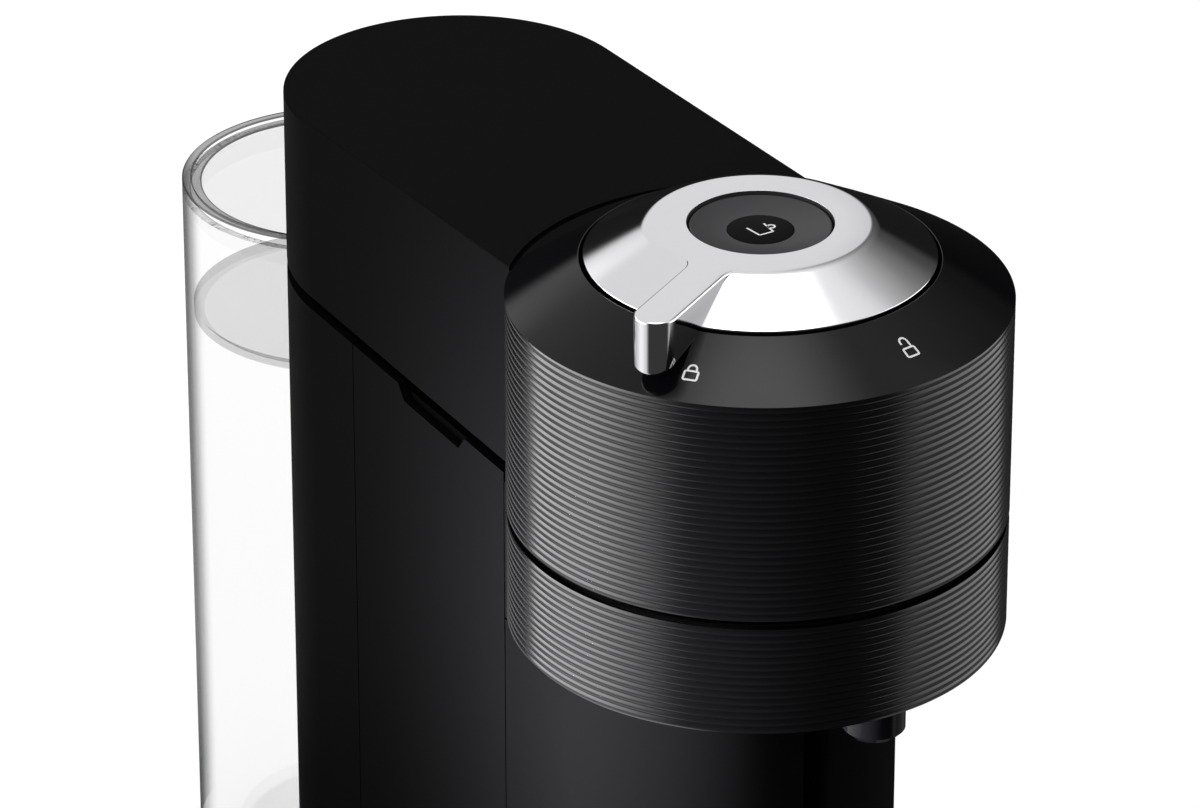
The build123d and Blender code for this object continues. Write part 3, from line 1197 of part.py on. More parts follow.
# Lever: chrome cone with a flat ring, a hub on the post and one arm
WELL_FLOOR = HEIGHT - LEVER_WELL_DEPTH
HUB_LOW = HEIGHT - LEVER_HUB_HEIGHT
LEVER_BORE = POST_RADIUS + 2 * RUNNING_FIT
LEVER_HUB = LEVER_BORE + LEVER_HUB_WALL
LEVER_BASE = HEIGHT - LEVER_BASE_DROP
LEVER_SLOPE = LEVER_BASE_DROP / (LEVER_BASE_RADIUS - LEVER_TOP_RADIUS)
LEVER_WALL_Z = LEVER_WALL * sqrt(1 + LEVER_SLOPE**2)
ARM_END = LEVER_ARM_REACH - LEVER_ARM_WIDTH / 2
SHOULDER_RUN = LEVER_SHOULDER * tan(atan(LEVER_SLOPE) / 2)
LEVER_FLAT_RADIUS = LEVER_TOP_RADIUS - SHOULDER_RUN
ARM_ROOT = sqrt(LEVER_FLAT_RADIUS**2 - (LEVER_ARM_WIDTH / 2) ** 2)
ARM_DIRECTION = (cos(radians(LEVER_ANGLE)), sin(radians(LEVER_ANGLE)), 0)
ARM_PLANE = Plane((0, DRUM_Y, HEIGHT), x_dir=ARM_DIRECTION)
with BuildPart() as lever:
    with BuildSketch(ARM_PLANE) as arm_plan:
        Circle(LEVER_FLAT_RADIUS)
        with Locations((ARM_END / 2, 0)):
            Rectangle(ARM_END, LEVER_ARM_WIDTH)
        with Locations((ARM_END, 0)):
            Circle(LEVER_ARM_WIDTH / 2)
        roots = arm_plan.vertices().filter_by_position(Axis.X, ARM_ROOT - CONTACT, ARM_ROOT + CONTACT)
        fillet(roots, LEVER_ARM_ROOT)
    extrude(amount=-LEVER_TIP_DROP)
    fillet(lever.faces().sort_by(Axis.Z)[-1].edges(), LEVER_EDGE)
    with BuildSketch(DRUM_PLANE) as cone_section:
        Polygon(
            (LEVER_BORE, HUB_LOW),
            (LEVER_BASE_RADIUS, HUB_LOW),
            (LEVER_BASE_RADIUS, LEVER_BASE),
            (LEVER_TOP_RADIUS, HEIGHT),
            (BUTTON_HOLE_RADIUS, HEIGHT),
            (BUTTON_HOLE_RADIUS, WELL_FLOOR),
            (LEVER_BORE, WELL_FLOOR),
            align=None,
        )
        fillet(cone_section.vertices().sort_by_distance((LEVER_TOP_RADIUS, HEIGHT, 0))[0], LEVER_SHOULDER)
    revolve(axis=DRUM_AXIS)
    with BuildSketch(DRUM_PLANE):
        Polygon(
            (LEVER_HUB, HUB_LOW),
            (LEVER_HUB, HEIGHT - LEVER_WALL_Z),
            (LEVER_TOP_RADIUS - LEVER_WALL / 3, HEIGHT - LEVER_WALL_Z),
            (LEVER_BASE_RADIUS - LEVER_WALL, LEVER_BASE - LEVER_WALL / 2),
            (LEVER_BASE_RADIUS - LEVER_WALL, LEVER_BASE - LEVER_SKIRT),
            (LEVER_BASE_RADIUS, LEVER_BASE - LEVER_SKIRT),
            (LEVER_BASE_RADIUS, LEVER_BASE + FIT),
            (LEVER_ARM_REACH + 1, HEIGHT - LEVER_TIP_DROP),
            (LEVER_ARM_REACH + 1, HUB_LOW),
            align=None,
        )
    revolve(axis=DRUM_AXIS, mode=Mode.SUBTRACT)
    with BuildSketch(Plane.XY.offset(HEIGHT)):
        with Locations((0, DRUM_Y)):
            Circle(BUTTON_HOLE_RADIUS)
    extrude(amount=-LEVER_WELL_DEPTH, mode=Mode.SUBTRACT)
    with BuildSketch(Plane.XY.offset(HEIGHT)):
        with Locations((0, DRUM_Y)):
            Circle(LEVER_BORE)
    extrude(amount=-LEVER_HUB_HEIGHT, mode=Mode.SUBTRACT)
lever.part.label = "lever"
export_step(lever.part, "parts/lever.step")

# Lock ring: turns with the lever inside the drum, with lugs that reach down to the parting line
LOCK_TOP = HUB_LOW
LOCK_LOW = LOCK_TOP - LOCK_RING_HEIGHT
with BuildPart() as lock_ring:
    with BuildSketch(Plane.XY.offset(LOCK_LOW)):
        with Locations((0, DRUM_Y)):
            Circle(LOCK_RING_RADIUS)
            Circle(LOCK_RING_RADIUS - LOCK_RING_WIDTH, mode=Mode.SUBTRACT)
            Circle(LOCK_HUB_RADIUS)
            with PolarLocations((LOCK_HUB_RADIUS + LOCK_RING_RADIUS - LOCK_RING_WIDTH) / 2, LOCK_COUNT):
                Rectangle(LOCK_RING_RADIUS - LOCK_HUB_RADIUS, LOCK_SPOKE_WIDTH)
            Circle(LEVER_BORE, mode=Mode.SUBTRACT)
    extrude(amount=LOCK_RING_HEIGHT)
    with BuildSketch(Plane.XY.offset(LOCK_LOW)):
        with Locations((0, DRUM_Y)):
            with PolarLocations(LOCK_RING_RADIUS - LOCK_RING_WIDTH / 2, LOCK_COUNT):
                Rectangle(LOCK_RING_WIDTH - 2, 2 * LOCK_SPOKE_WIDTH)
    extrude(amount=-LOCK_LUG_DEPTH)
lock_ring.part.label = "lock_ring"
export_step(lock_ring.part, "parts/lock_ring.step")

# Button: dished cap on a stem
BUTTON_RADIUS = BUTTON_HOLE_RADIUS - BUTTON_GAP
BUTTON_TOP = HEIGHT - BUTTON_DROP
LENS_SEAT_RADIUS = LENS_RADIUS + RUNNING_FIT
LENS_SEAT = BUTTON_TOP - BUTTON_DISH - LENS_DEPTH + LENS_PROUD
BUTTON_LOW = BUTTON_TOP - BUTTON_DEPTH
with BuildPart() as button:
    with BuildSketch(DRUM_PLANE):
        with BuildLine():
            Polyline(
                (LENS_SEAT_RADIUS, BUTTON_TOP - BUTTON_DISH),
                (LENS_SEAT_RADIUS, LENS_SEAT),
                (0, LENS_SEAT),
                (0, BUTTON_LOW - STEM_LENGTH),
                (STEM_RADIUS, BUTTON_LOW - STEM_LENGTH),
                (STEM_RADIUS, BUTTON_LOW),
                (BUTTON_RADIUS, BUTTON_LOW),
                (BUTTON_RADIUS, BUTTON_TOP),
            )
            ThreePointArc(
                (BUTTON_RADIUS, BUTTON_TOP),
                ((BUTTON_RADIUS + LENS_SEAT_RADIUS) / 2, BUTTON_TOP - 0.62 * BUTTON_DISH),
                (LENS_SEAT_RADIUS, BUTTON_TOP - BUTTON_DISH),
            )
        make_face()
    revolve(axis=DRUM_AXIS)
button.part.label = "button"
export_step(button.part, "parts/button.step")

# Lens in the middle of the button
with BuildPart() as button_lens:
    with BuildSketch(Plane.XY.offset(LENS_SEAT)):
        with Locations((0, DRUM_Y)):
            Circle(LENS_RADIUS)
    extrude(amount=LENS_DEPTH)
button_lens.part.label = "button_lens"
export_step(button_lens.part, "parts/button_lens.step")

# Switch in the post under the button's stem
PLUNGER_TOP = BUTTON_LOW - STEM_LENGTH - SWITCH_PLUNGER_GAP
with BuildPart() as button_switch:
    with Locations((0, DRUM_Y, PLUNGER_TOP)):
        Cylinder(SWITCH_PLUNGER_RADIUS, SWITCH_PLUNGER, align=(Align.CENTER, Align.CENTER, Align.MAX))
    with Locations((0, DRUM_Y, PLUNGER_TOP - SWITCH_PLUNGER)):
        Cylinder(POST_BORE - CONTACT, SWITCH_DISC, align=(Align.CENTER, Align.CENTER, Align.MAX))
button_switch.part.label = "button_switch"
export_step(button_switch.part, "parts/button_switch.step")

# Water hose in the head, from the post back into the neck
HEAD_HOSE_Z = PLATE_TOP + HEAD_HOSE_RADIUS + CONTACT
HEAD_HOSE_START_Y = DRUM_Y + POST_RADIUS + FIT
HEAD_HOSE_BEND_Y = DRUM_Y + DRUM_BORE
with BuildPart() as head_hose:
    with BuildLine():
        FilletPolyline(
            (0, HEAD_HOSE_START_Y, HEAD_HOSE_Z),
            (0, HEAD_HOSE_BEND_Y, HEAD_HOSE_Z),
            (0, HEAD_HOSE_END_Y, HEAD_HOSE_Z + HEAD_HOSE_END_RISE),
            radius=HOSE_BEND,
        )
    with BuildSketch(Plane.XZ.offset(-HEAD_HOSE_START_Y)):
        with Locations((0, HEAD_HOSE_Z)):
            Circle(HEAD_HOSE_RADIUS)
    sweep()
head_hose.part.label = "head_hose"
export_step(head_hose.part, "parts/head_hose.step")
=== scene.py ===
"""Pod coffee machine: finishes, fine turned pieces, signs, water, studio and camera on the CAD frame."""

import json
import logging
import math
from dataclasses import dataclass, field
from enum import Enum
from typing import Callable, NamedTuple

import bmesh
import bpy
import numpy as np
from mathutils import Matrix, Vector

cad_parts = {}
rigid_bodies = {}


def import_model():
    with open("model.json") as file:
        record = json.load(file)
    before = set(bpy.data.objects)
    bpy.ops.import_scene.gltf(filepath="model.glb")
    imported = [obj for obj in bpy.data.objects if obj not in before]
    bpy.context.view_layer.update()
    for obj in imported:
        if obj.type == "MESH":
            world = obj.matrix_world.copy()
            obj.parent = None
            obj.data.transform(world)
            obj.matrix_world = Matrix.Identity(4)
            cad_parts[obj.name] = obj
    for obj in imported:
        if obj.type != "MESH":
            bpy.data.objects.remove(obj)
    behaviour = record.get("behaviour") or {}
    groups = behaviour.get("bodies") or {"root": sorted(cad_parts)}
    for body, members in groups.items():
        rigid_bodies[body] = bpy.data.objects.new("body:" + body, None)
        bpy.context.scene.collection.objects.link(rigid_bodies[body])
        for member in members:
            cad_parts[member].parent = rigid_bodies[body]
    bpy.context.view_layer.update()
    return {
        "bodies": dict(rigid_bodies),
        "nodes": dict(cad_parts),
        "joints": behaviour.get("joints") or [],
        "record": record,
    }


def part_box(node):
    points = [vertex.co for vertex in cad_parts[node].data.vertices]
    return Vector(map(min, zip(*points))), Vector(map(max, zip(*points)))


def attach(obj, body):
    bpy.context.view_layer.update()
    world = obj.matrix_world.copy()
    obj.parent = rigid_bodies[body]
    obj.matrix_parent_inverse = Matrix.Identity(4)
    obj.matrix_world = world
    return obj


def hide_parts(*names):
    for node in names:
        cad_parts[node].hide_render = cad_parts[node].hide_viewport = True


LOG = logging.getLogger("coffee_machine")
MM = 0.001
PLASTIC_IOR = 1.5
SHARP_ANGLE = math.radians(40.0)
JOIN_REACH = 1e-6
WHOLE_TURN = (0.0, 360.0)
EDGE_POINTS = 7
CONE_BORE = 50.2 * MM
TANK_WALL = 2.3 * MM
WHITE = "#ffffff"
Box = tuple[np.ndarray, np.ndarray]
Place = Callable[[np.ndarray], np.ndarray]


def linear(hex_colour: str) -> tuple[float, float, float, float]:
    """Turns an sRGB hex colour into linear RGBA.

    Args:
        hex_colour: a colour such as "#1a2b3c".

    Returns:
        Linear red, green and blue with an alpha of one.
    """
    channels = np.array([int(hex_colour[i : i + 2], 16) for i in (1, 3, 5)]) / 255.0
    curve = np.where(channels <= 0.04045, channels / 12.92, ((channels + 0.055) / 1.055) ** 2.4)
    return (*(float(channel) for channel in curve), 1.0)


def add_node(tree: bpy.types.NodeTree, kind: str, inputs: dict, **settings: str) -> bpy.types.Node:
    """Adds one node with its input values, links and settings.

    Args:
        tree: the node tree that gets the node.
        kind: the node's type name.
        inputs: socket names or numbers, with values, or output sockets to link from.
        settings: attribute names and values.

    Returns:
        The new node.
    """
    node = tree.nodes.new(kind)
    for key, value in settings.items():
        setattr(node, key, value)
    for key, value in inputs.items():
        if isinstance(value, bpy.types.NodeSocket):
            tree.links.new(value, node.inputs[key])
        else:
            node.inputs[key].default_value = value
    return node


def blank_tree(owner: bpy.types.Material | bpy.types.World) -> bpy.types.NodeTree:
    """Turns on the nodes of a new material or world and returns its emptied tree."""
    owner.use_nodes = True
    owner.node_tree.nodes.clear()
    return owner.node_tree


def put(name: str, data: bpy.types.ID) -> bpy.types.Object:
    """Puts a mesh, lamp or camera into the scene as an object, which it returns."""
    made = bpy.data.objects.new(name, data)
    bpy.context.scene.collection.objects.link(made)
    return made


class Texture(Enum):
    """How a surface was made, which decides its fine relief."""

    SMOOTH = "smooth"
    ERODED = "eroded"
    BRUSHED = "brushed"


@dataclass(frozen=True)
class Finish:
    """One real material with its surface.

    The grain is a noise on Object coordinates whose spacing is a real size in millimetres.
    """

    name: str
    colour: str
    roughness: float
    metallic: float = 0.0
    specular: float = 0.5
    texture: Texture = Texture.SMOOTH
    grain_mm: float = 0.8
    grain_depth_mm: float = 0.02
    grain_detail: float = 3.0
    brush_stretch: float = 0.03

    def relief(self, tree: bpy.types.NodeTree) -> bpy.types.NodeSocket:
        """Adds the fine relief of the surface.

        Args:
            tree: the material's node tree.

        Returns:
            The bump's normal output.
        """
        stretch = self.brush_stretch if self.texture is Texture.BRUSHED else 1.0
        place = add_node(tree, "ShaderNodeTexCoord", {})
        turn = add_node(
            tree, "ShaderNodeMapping", {"Vector": place.outputs["Object"], "Scale": (1.0, 1.0, stretch)}
        )
        spacing = 1.0 / (self.grain_mm * MM)
        grain = add_node(
            tree, "ShaderNodeTexNoise",
            {"Vector": turn.outputs["Vector"], "Scale": spacing, "Detail": self.grain_detail},
        )
        bump = add_node(
            tree, "ShaderNodeBump",
            {"Height": grain.outputs[0], "Distance": self.grain_depth_mm * MM, "Strength": 1.0},
        )
        return bump.outputs["Normal"]

    def material(self) -> bpy.types.Material:
        """Makes the material once.

        Returns:
            The material of this finish.
        """
        made = bpy.data.materials.get(self.name)
        if made:
            return made
        made = bpy.data.materials.new(self.name)
        tree = blank_tree(made)
        shader = add_node(
            tree, "ShaderNodeBsdfPrincipled",
            {
                "Base Color": linear(self.colour), "Roughness": self.roughness, "Metallic": self.metallic,
                "Specular IOR Level": self.specular, "IOR": PLASTIC_IOR,
            },
        )
        if self.texture is not Texture.SMOOTH:
            tree.links.new(self.relief(tree), shader.inputs["Normal"])
        self.clear(tree, shader)
        add_node(tree, "ShaderNodeOutputMaterial", {"Surface": shader.outputs[0]})
        return made

    def clear(self, tree: bpy.types.NodeTree, shader: bpy.types.Node) -> None:
        """Lets light through where the material is clear; a solid one stays as it is."""


@dataclass(frozen=True)
class ClearFinish(Finish):
    """A thin clear wall: nearly unseen from the front, greyer where the eye looks along it, partly for its
    longer path and partly as painted reflection of darker surroundings.
    """

    face_opacity: float = 0.02
    edge_opacity: float = 0.3
    edge_start: float = 0.58
    edge_end: float = 0.94

    def clear(self, tree: bpy.types.NodeTree, shader: bpy.types.Node) -> None:
        """Makes the wall denser towards its outline, partly as the path through it gets longer and partly as
        painted reflection of darker surroundings.

        Args:
            tree: the material's node tree.
            shader: the surface shader.
        """
        # Painted reflection: the wall turns greyer by its facing angle, standing in for darker surroundings
        # seen in it as well as its longer path
        slant = add_node(tree, "ShaderNodeLayerWeight", {"Blend": 0.5})
        opacity = add_node(
            tree, "ShaderNodeMapRange",
            {
                "Value": slant.outputs["Facing"], "From Min": self.edge_start, "From Max": self.edge_end,
                "To Min": self.face_opacity, "To Max": self.edge_opacity,
            },
            interpolation_type="SMOOTHSTEP",
        )
        tree.links.new(opacity.outputs[0], shader.inputs["Alpha"])


# Moulded with a fine spark-eroded skin: dark, with a wide dim sheen
SATIN_BLACK_ABS = Finish(
    "satin black ABS", "#0b0b0c", 0.42, specular=0.005, texture=Texture.ERODED, grain_depth_mm=0.004
)
# Polished, with clear dark reflections
GLOSS_BLACK_ABS = Finish("gloss black ABS", "#08080a", 0.08, specular=0.15)
# A little softer, so that each rib shows a band of light
RIBBED_BLACK_ABS = Finish("ribbed black ABS", "#050506", 0.2, specular=0.5)
CHROME_PLATE = Finish("chrome plate", "#d4d4d6", 0.09, metallic=1.0)
BUTTON_ABS = Finish("grey button ABS", "#303032", 0.34, specular=0.2)
LENS_ACRYLIC = Finish("black lens acrylic", "#060607", 0.12, specular=0.01)
WHITE_INK = Finish("white printing ink", "#e6e6e6", 0.55, specular=0.2)
# Clear SAN copolymer in a thin polished wall: grey only along its outline, partly for the longer path and
# partly as painted reflection of darker surroundings
CLEAR_SAN = ClearFinish("clear SAN wall", "#16171a", 0.04, specular=0.1, edge_opacity=0.7, edge_end=0.88)
# The wall's inner skin, which meets water or wet air and shows less
CLEAR_SAN_INSIDE = ClearFinish("clear SAN inner skin", "#16171a", 0.04, specular=0.1, edge_opacity=0.05)
# The middle of the tank's floor as a near-white sheet: painted light standing in for the bright surroundings
# seen through the clear floor, which also hides the dark seat under it
PAINTED_LIGHT_FLOOR = ClearFinish(
    "etched SAN floor", "#fcfcfc", 0.5, specular=0.1, face_opacity=0.9, edge_opacity=0.9
)
# The lid's plate, evenly greyed: painted reflection of the surroundings
LID_PLATE = ClearFinish(
    "clear SAN plate", "#16171a", 0.03, specular=0.2, face_opacity=0.17, edge_opacity=0.22
)
# The lid's thick rim, greyer as painted shade for the light that it bends away
LID_RIM = ClearFinish("clear SAN rim", "#1c1d20", 0.03, specular=0.2, face_opacity=0.66, edge_opacity=0.76)
# The rim's rounded edges, dark lines in the clear plastic: painted shade standing in for darker surroundings
# seen in them
LID_EDGE = ClearFinish("clear SAN edge", "#0e0f10", 0.03, specular=0.2, face_opacity=0.85, edge_opacity=0.9)
# Drinking water, seen by its surface and by its raised edge, both greyed as painted reflection of the
# surroundings
WATER = ClearFinish("water", "#101112", 0.05, specular=0.1, face_opacity=0.15, edge_opacity=0.18)
WATER_EDGE = ClearFinish(
    "water at the wall", "#101112", 0.05, specular=0.1, face_opacity=0.24, edge_opacity=0.3
)
STRUCTURAL_PP = Finish("dark grey polypropylene", "#29292b", 0.55, specular=0.3)

SLOT_FINISHES: dict[str, Finish] = {
    "satin_black_plastic": SATIN_BLACK_ABS,
    "ribbed_black_plastic": RIBBED_BLACK_ABS,
    "gloss_black_plastic": GLOSS_BLACK_ABS,
    "chrome_plate": CHROME_PLATE,
    "button_plastic": BUTTON_ABS,
    "button_lens": LENS_ACRYLIC,
    "clear_plastic": CLEAR_SAN,
    "black_rubber": Finish("black rubber", "#151515", 0.75, specular=0.25, texture=Texture.ERODED),
    "hose_silicone": Finish("silicone hose", "#c9c9c4", 0.5, specular=0.35),
    "structural_plastic": STRUCTURAL_PP,
    "bowl_plastic": Finish("smooth dark polypropylene", "#1f1f21", 0.36, specular=0.4),
    "steel": Finish("turned stainless steel", "#b9babc", 0.3, metallic=1.0, texture=Texture.BRUSHED),
    "zinc_screw": Finish("zinc plated steel", "#a3a5a8", 0.36, metallic=1.0),
    "cast_aluminium": Finish("die-cast aluminium", "#bfc0c2", 0.48, metallic=1.0, texture=Texture.ERODED),
    "pump_metal": Finish("dark enamel paint", "#47484b", 0.4),
    "board": Finish("green solder mask", "#1d6b3b", 0.35),
    "white_plastic": Finish("white acetal", "#dcdcd8", 0.42),
}
# Painted shade: the deck, which shows through the gap under the neck, is near black to stand in for the
# shadow in that recess
PAINTED_SHADE_FINISHES: dict[str, Finish] = {
    "column_deck": Finish("matt black polypropylene", "#030303", 0.7, specular=0.005)
}


def dress_frame(frame: dict) -> None:
    """Gives every CAD node the finish of its slot, or a near-black one listed to paint shade into a recess.
    """
    for entry in frame["record"]["subparts"]:
        # A listed node takes a finish with painted shade in place of its slot's
        finish = PAINTED_SHADE_FINISHES.get(entry["node"], SLOT_FINISHES[entry["material_slot"]])
        mesh = frame["nodes"][entry["node"]].data
        mesh.materials.clear()
        mesh.materials.append(finish.material())
        LOG.info("%s: %s", entry["node"], finish.name)


def node_box(node: str) -> Box:
    """Lowest and highest corner of a CAD node in metres, as arrays."""
    low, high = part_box(node)
    return np.array(low), np.array(high)


def round_sizes(node: str) -> tuple[float, float, float]:
    """Radius, foot height and top height of a round CAD node in metres."""
    low, high = node_box(node)
    return float(high[0]), float(low[2]), float(high[2])


class Patch(NamedTuple):
    """Points with the faces on them, and which of the piece's finishes they have."""

    points: np.ndarray
    faces: list[tuple[int, ...]]
    finish: int = 0


def seal(mesh: bpy.types.Mesh) -> None:
    """Joins points that lie on one another, so that poles and seams are closed."""
    shape = bmesh.new()
    shape.from_mesh(mesh)
    bmesh.ops.remove_doubles(shape, verts=shape.verts, dist=JOIN_REACH)
    shape.to_mesh(mesh)
    shape.free()


def make_piece(
    name: str, patches: list[Patch], finishes: tuple[Finish, ...], body: str, sealed: bool = False
) -> bpy.types.Object:
    """Joins patches to one mesh object that rides on a body.

    Args:
        name: the piece's name.
        patches: its surfaces.
        finishes: its materials, which the patches choose from.
        body: the CAD body that carries it.
        sealed: whether the patches share their edges and are joined there.

    Returns:
        The new object.
    """
    starts = np.cumsum([0] + [len(patch.points) for patch in patches])
    faces = [
        tuple(int(corner) + int(start) for corner in face)
        for patch, start in zip(patches, starts) for face in patch.faces
    ]
    mesh = bpy.data.meshes.new(name)
    mesh.from_pydata(np.concatenate([patch.points for patch in patches]).tolist(), [], faces)
    for finish in finishes:
        mesh.materials.append(finish.material())
    chosen = np.repeat([patch.finish for patch in patches], [len(patch.faces) for patch in patches])
    mesh.polygons.foreach_set("material_index", chosen.astype(np.int32))
    if sealed:
        seal(mesh)
    mesh.validate()
    mesh.shade_smooth()
    mesh.set_sharp_from_angle(angle=SHARP_ANGLE)
    piece = put(name, mesh)
    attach(piece, body)
    LOG.info("%s: %d faces on %s", name, len(faces), body)
    return piece


def grid_faces(
    rows: int, columns: int, closed_rows: bool, closed_columns: bool = True
) -> list[tuple[int, ...]]:
    """Quads of a grid of points.

    Args:
        rows: points along the path.
        columns: points across it.
        closed_rows: whether the last row joins the first.
        closed_columns: whether the last column joins the first.

    Returns:
        One tuple of corner numbers per quad.
    """
    row = np.arange(rows if closed_rows else rows - 1)[:, None]
    column = np.arange(columns if closed_columns else columns - 1)[None, :]
    here, ahead = row * columns, (row + 1) % rows * columns
    beside = (column + 1) % columns
    quads = np.stack([here + column, ahead + column, ahead + beside, here + beside], axis=-1)
    return [tuple(quad) for quad in quads.reshape(-1, 4)]


def around(curve: np.ndarray, centre_y: float, angles: np.ndarray) -> np.ndarray:
    """Points of a section carried round an upright axis.

    A point at section (r, z) and plan angle a lies at x = r cos a, y = centre + r sin a, height z.

    Args:
        curve: section points (radius, height) in metres.
        centre_y: the axis's place along Y.
        angles: plan angles in radians.

    Returns:
        Points (..., 3), one section after another.
    """
    radius, height = curve[:, 0], curve[:, 1]
    across = np.cos(angles)[:, None] * radius
    along = centre_y + np.sin(angles)[:, None] * radius
    return np.stack([across, along, np.broadcast_to(height, across.shape)], axis=-1).reshape(-1, 3)


def turned(
    curve: np.ndarray, centre_y: float, steps: int, finish: int = 0,
    span: tuple[float, float] = WHOLE_TURN, closed: bool = False,
) -> Patch:
    """Carries a section round an upright axis.

    A closed section runs anticlockwise, so that the faces point outwards, and closes a part turn at both
    ends by itself. An open one has the material on the left of its path.

    Args:
        curve: section points (radius, height) in metres.
        centre_y: the axis's place along Y.
        steps: number of steps along the turn.
        finish: which of the piece's finishes the surface has.
        span: first and last plan angle in degrees.
        closed: whether the section is closed.

    Returns:
        The surface.
    """
    whole = closed and span[1] - span[0] >= 360.0
    angles = np.radians(np.linspace(*span, steps + 1))
    if whole:
        angles = angles[:-1]
    count = len(curve)
    faces = grid_faces(len(angles), count, whole, closed)
    if closed and not whole:
        faces.append(tuple(range(count)))
        faces.append(tuple(reversed(range((len(angles) - 1) * count, len(angles) * count))))
    return Patch(around(curve, centre_y, angles), faces, finish)


def rounded_section(corners: list[tuple[float, ...]], steps: int = 8) -> np.ndarray:
    """A closed section with rounded corners.

    At a corner with radius R, between edges that meet at the angle 2h, the arc's centre lies R / sin h along
    the half-way line. The arc starts and ends R / tan h along the edges, and its points swing evenly.

    Args:
        corners: radius and height of each corner, anticlockwise, and the radius of its rounding, if any.
        steps: steps along each rounding.

    Returns:
        Section points (radius, height).
    """
    spots = np.array([corner[:2] for corner in corners])
    share = np.linspace(0.0, 1.0, steps + 1)[:, None]
    runs = []
    for i, spot in enumerate(spots):
        size = sum(corners[i][2:])
        if size <= 0.0:
            runs.append(spot[None, :])
            continue
        edges = np.stack([spots[i - 1], spots[(i + 1) % len(spots)]]) - spot
        edges /= np.linalg.norm(edges, axis=1, keepdims=True)
        half = 0.5 * math.acos(float(edges[0] @ edges[1]))
        centre = spot + edges.sum(axis=0) / np.linalg.norm(edges.sum(axis=0)) * size / math.sin(half)
        first, last = spot + edges * size / math.tan(half) - centre
        swing = math.pi - 2.0 * half
        swung = np.sin((1.0 - share) * swing) * first + np.sin(share * swing) * last
        runs.append(centre + swung / math.sin(swing))
    return np.concatenate(runs)


def arc(centre: tuple[float, float], radius: float, start: float, end: float, count: int = 24) -> np.ndarray:
    """Points of a round arc between two angles in degrees."""
    angles = np.radians(np.linspace(start, end, count))
    return np.array(centre) + radius * np.stack([np.cos(angles), np.sin(angles)], axis=-1)


def block(low: tuple[float, float, float], high: tuple[float, float, float], finish: int = 0) -> Patch:
    """A rectangular block between two corners."""
    pick = np.array([[i & 1, (i >> 1) & 1, (i >> 2) & 1] for i in range(8)])
    points = np.take_along_axis(np.array([low, high]), pick, axis=0)
    faces = [(0, 2, 3, 1), (4, 5, 7, 6), (0, 1, 5, 4), (2, 6, 7, 3), (0, 4, 6, 2), (1, 3, 7, 5)]
    return Patch(points, faces, finish)


@dataclass
class RibbedDrum:
    """A ribbed drum wall with rounded ribs, in place of the CAD drum's straight ridges."""

    node: str
    body: str
    rib_pitch: float = 2.19 * MM
    rib_depth: float = 0.45 * MM
    wall: float = 2.5 * MM
    rib_points: int = 9
    steps: int = 200
    low: np.ndarray = field(init=False)
    high: np.ndarray = field(init=False)

    def __post_init__(self) -> None:
        """Reads the drum's box from the frame."""
        self.low, self.high = node_box(self.node)

    @property
    def radius(self) -> float:
        """The ribs' outer radius."""
        return float(self.high[0])

    @property
    def centre_y(self) -> float:
        """The axis's place: one radius behind the foremost point."""
        return float(self.low[1]) + self.radius

    def section(self, bottom: float, top: float) -> np.ndarray:
        """Wall section between two heights.

        Outside, the radius is R - d + d |sin(pi t)|, where t counts ribs from the drum's lower edge, so the
        ridges are round and the grooves between them are sharp. Inside, the wall is plain.

        Args:
            bottom: lower height in metres.
            top: upper height in metres.

        Returns:
            Section points (radius, height), anticlockwise.
        """
        tall = float(self.high[2] - self.low[2])
        pitch = tall / round(tall / self.rib_pitch)
        samples = max(2, round((top - bottom) / pitch * self.rib_points) + 1)
        height = np.linspace(bottom, top, samples)
        ridge = np.abs(np.sin(np.pi * ((height - self.low[2]) / pitch)))
        outer = np.stack([self.radius - self.rib_depth * (1.0 - ridge), height], axis=-1)
        bore = self.radius - self.wall
        return np.concatenate([outer, [[bore, top], [bore, bottom]]])

    def sector(self, bottom: float, top: float, start: float, end: float, steps: int) -> Patch:
        """The wall between two heights and two plan angles in degrees."""
        return turned(self.section(bottom, top), self.centre_y, steps, span=(start, end), closed=True)

    def build(self, patches: list[Patch], name: str) -> None:
        """Makes the piece and lets it stand for the CAD drum."""
        finishes = (RIBBED_BLACK_ABS, SATIN_BLACK_ABS)
        piece = make_piece(name, patches, finishes, self.body)
        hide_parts(self.node)


@dataclass
class UpperDrum(RibbedDrum):
    """The upper drum: a whole ring with a window to the neck."""

    node: str = "upper_drum"
    body: str = "head"
    window_width: float = 44.0 * MM
    window_sill: float = 7.2 * MM
    window_height: float = 50.0 * MM
    window_steps: int = 16

    def make(self) -> None:
        """Builds the wall as one long sector, with a sill and a lintel across the window."""
        bottom, top = float(self.low[2]), float(self.high[2])
        half = math.degrees(math.asin(0.5 * self.window_width / (self.radius - self.wall)))
        sill = bottom + self.window_sill
        lintel = sill + self.window_height
        patches = [
            self.sector(bottom, top, 90 + half, 450 - half, self.steps),
            self.sector(bottom, sill, 90 - half, 90 + half, self.window_steps),
            self.sector(lintel, top, 90 - half, 90 + half, self.window_steps),
        ]
        self.build(patches, "ribbed_upper_drum")


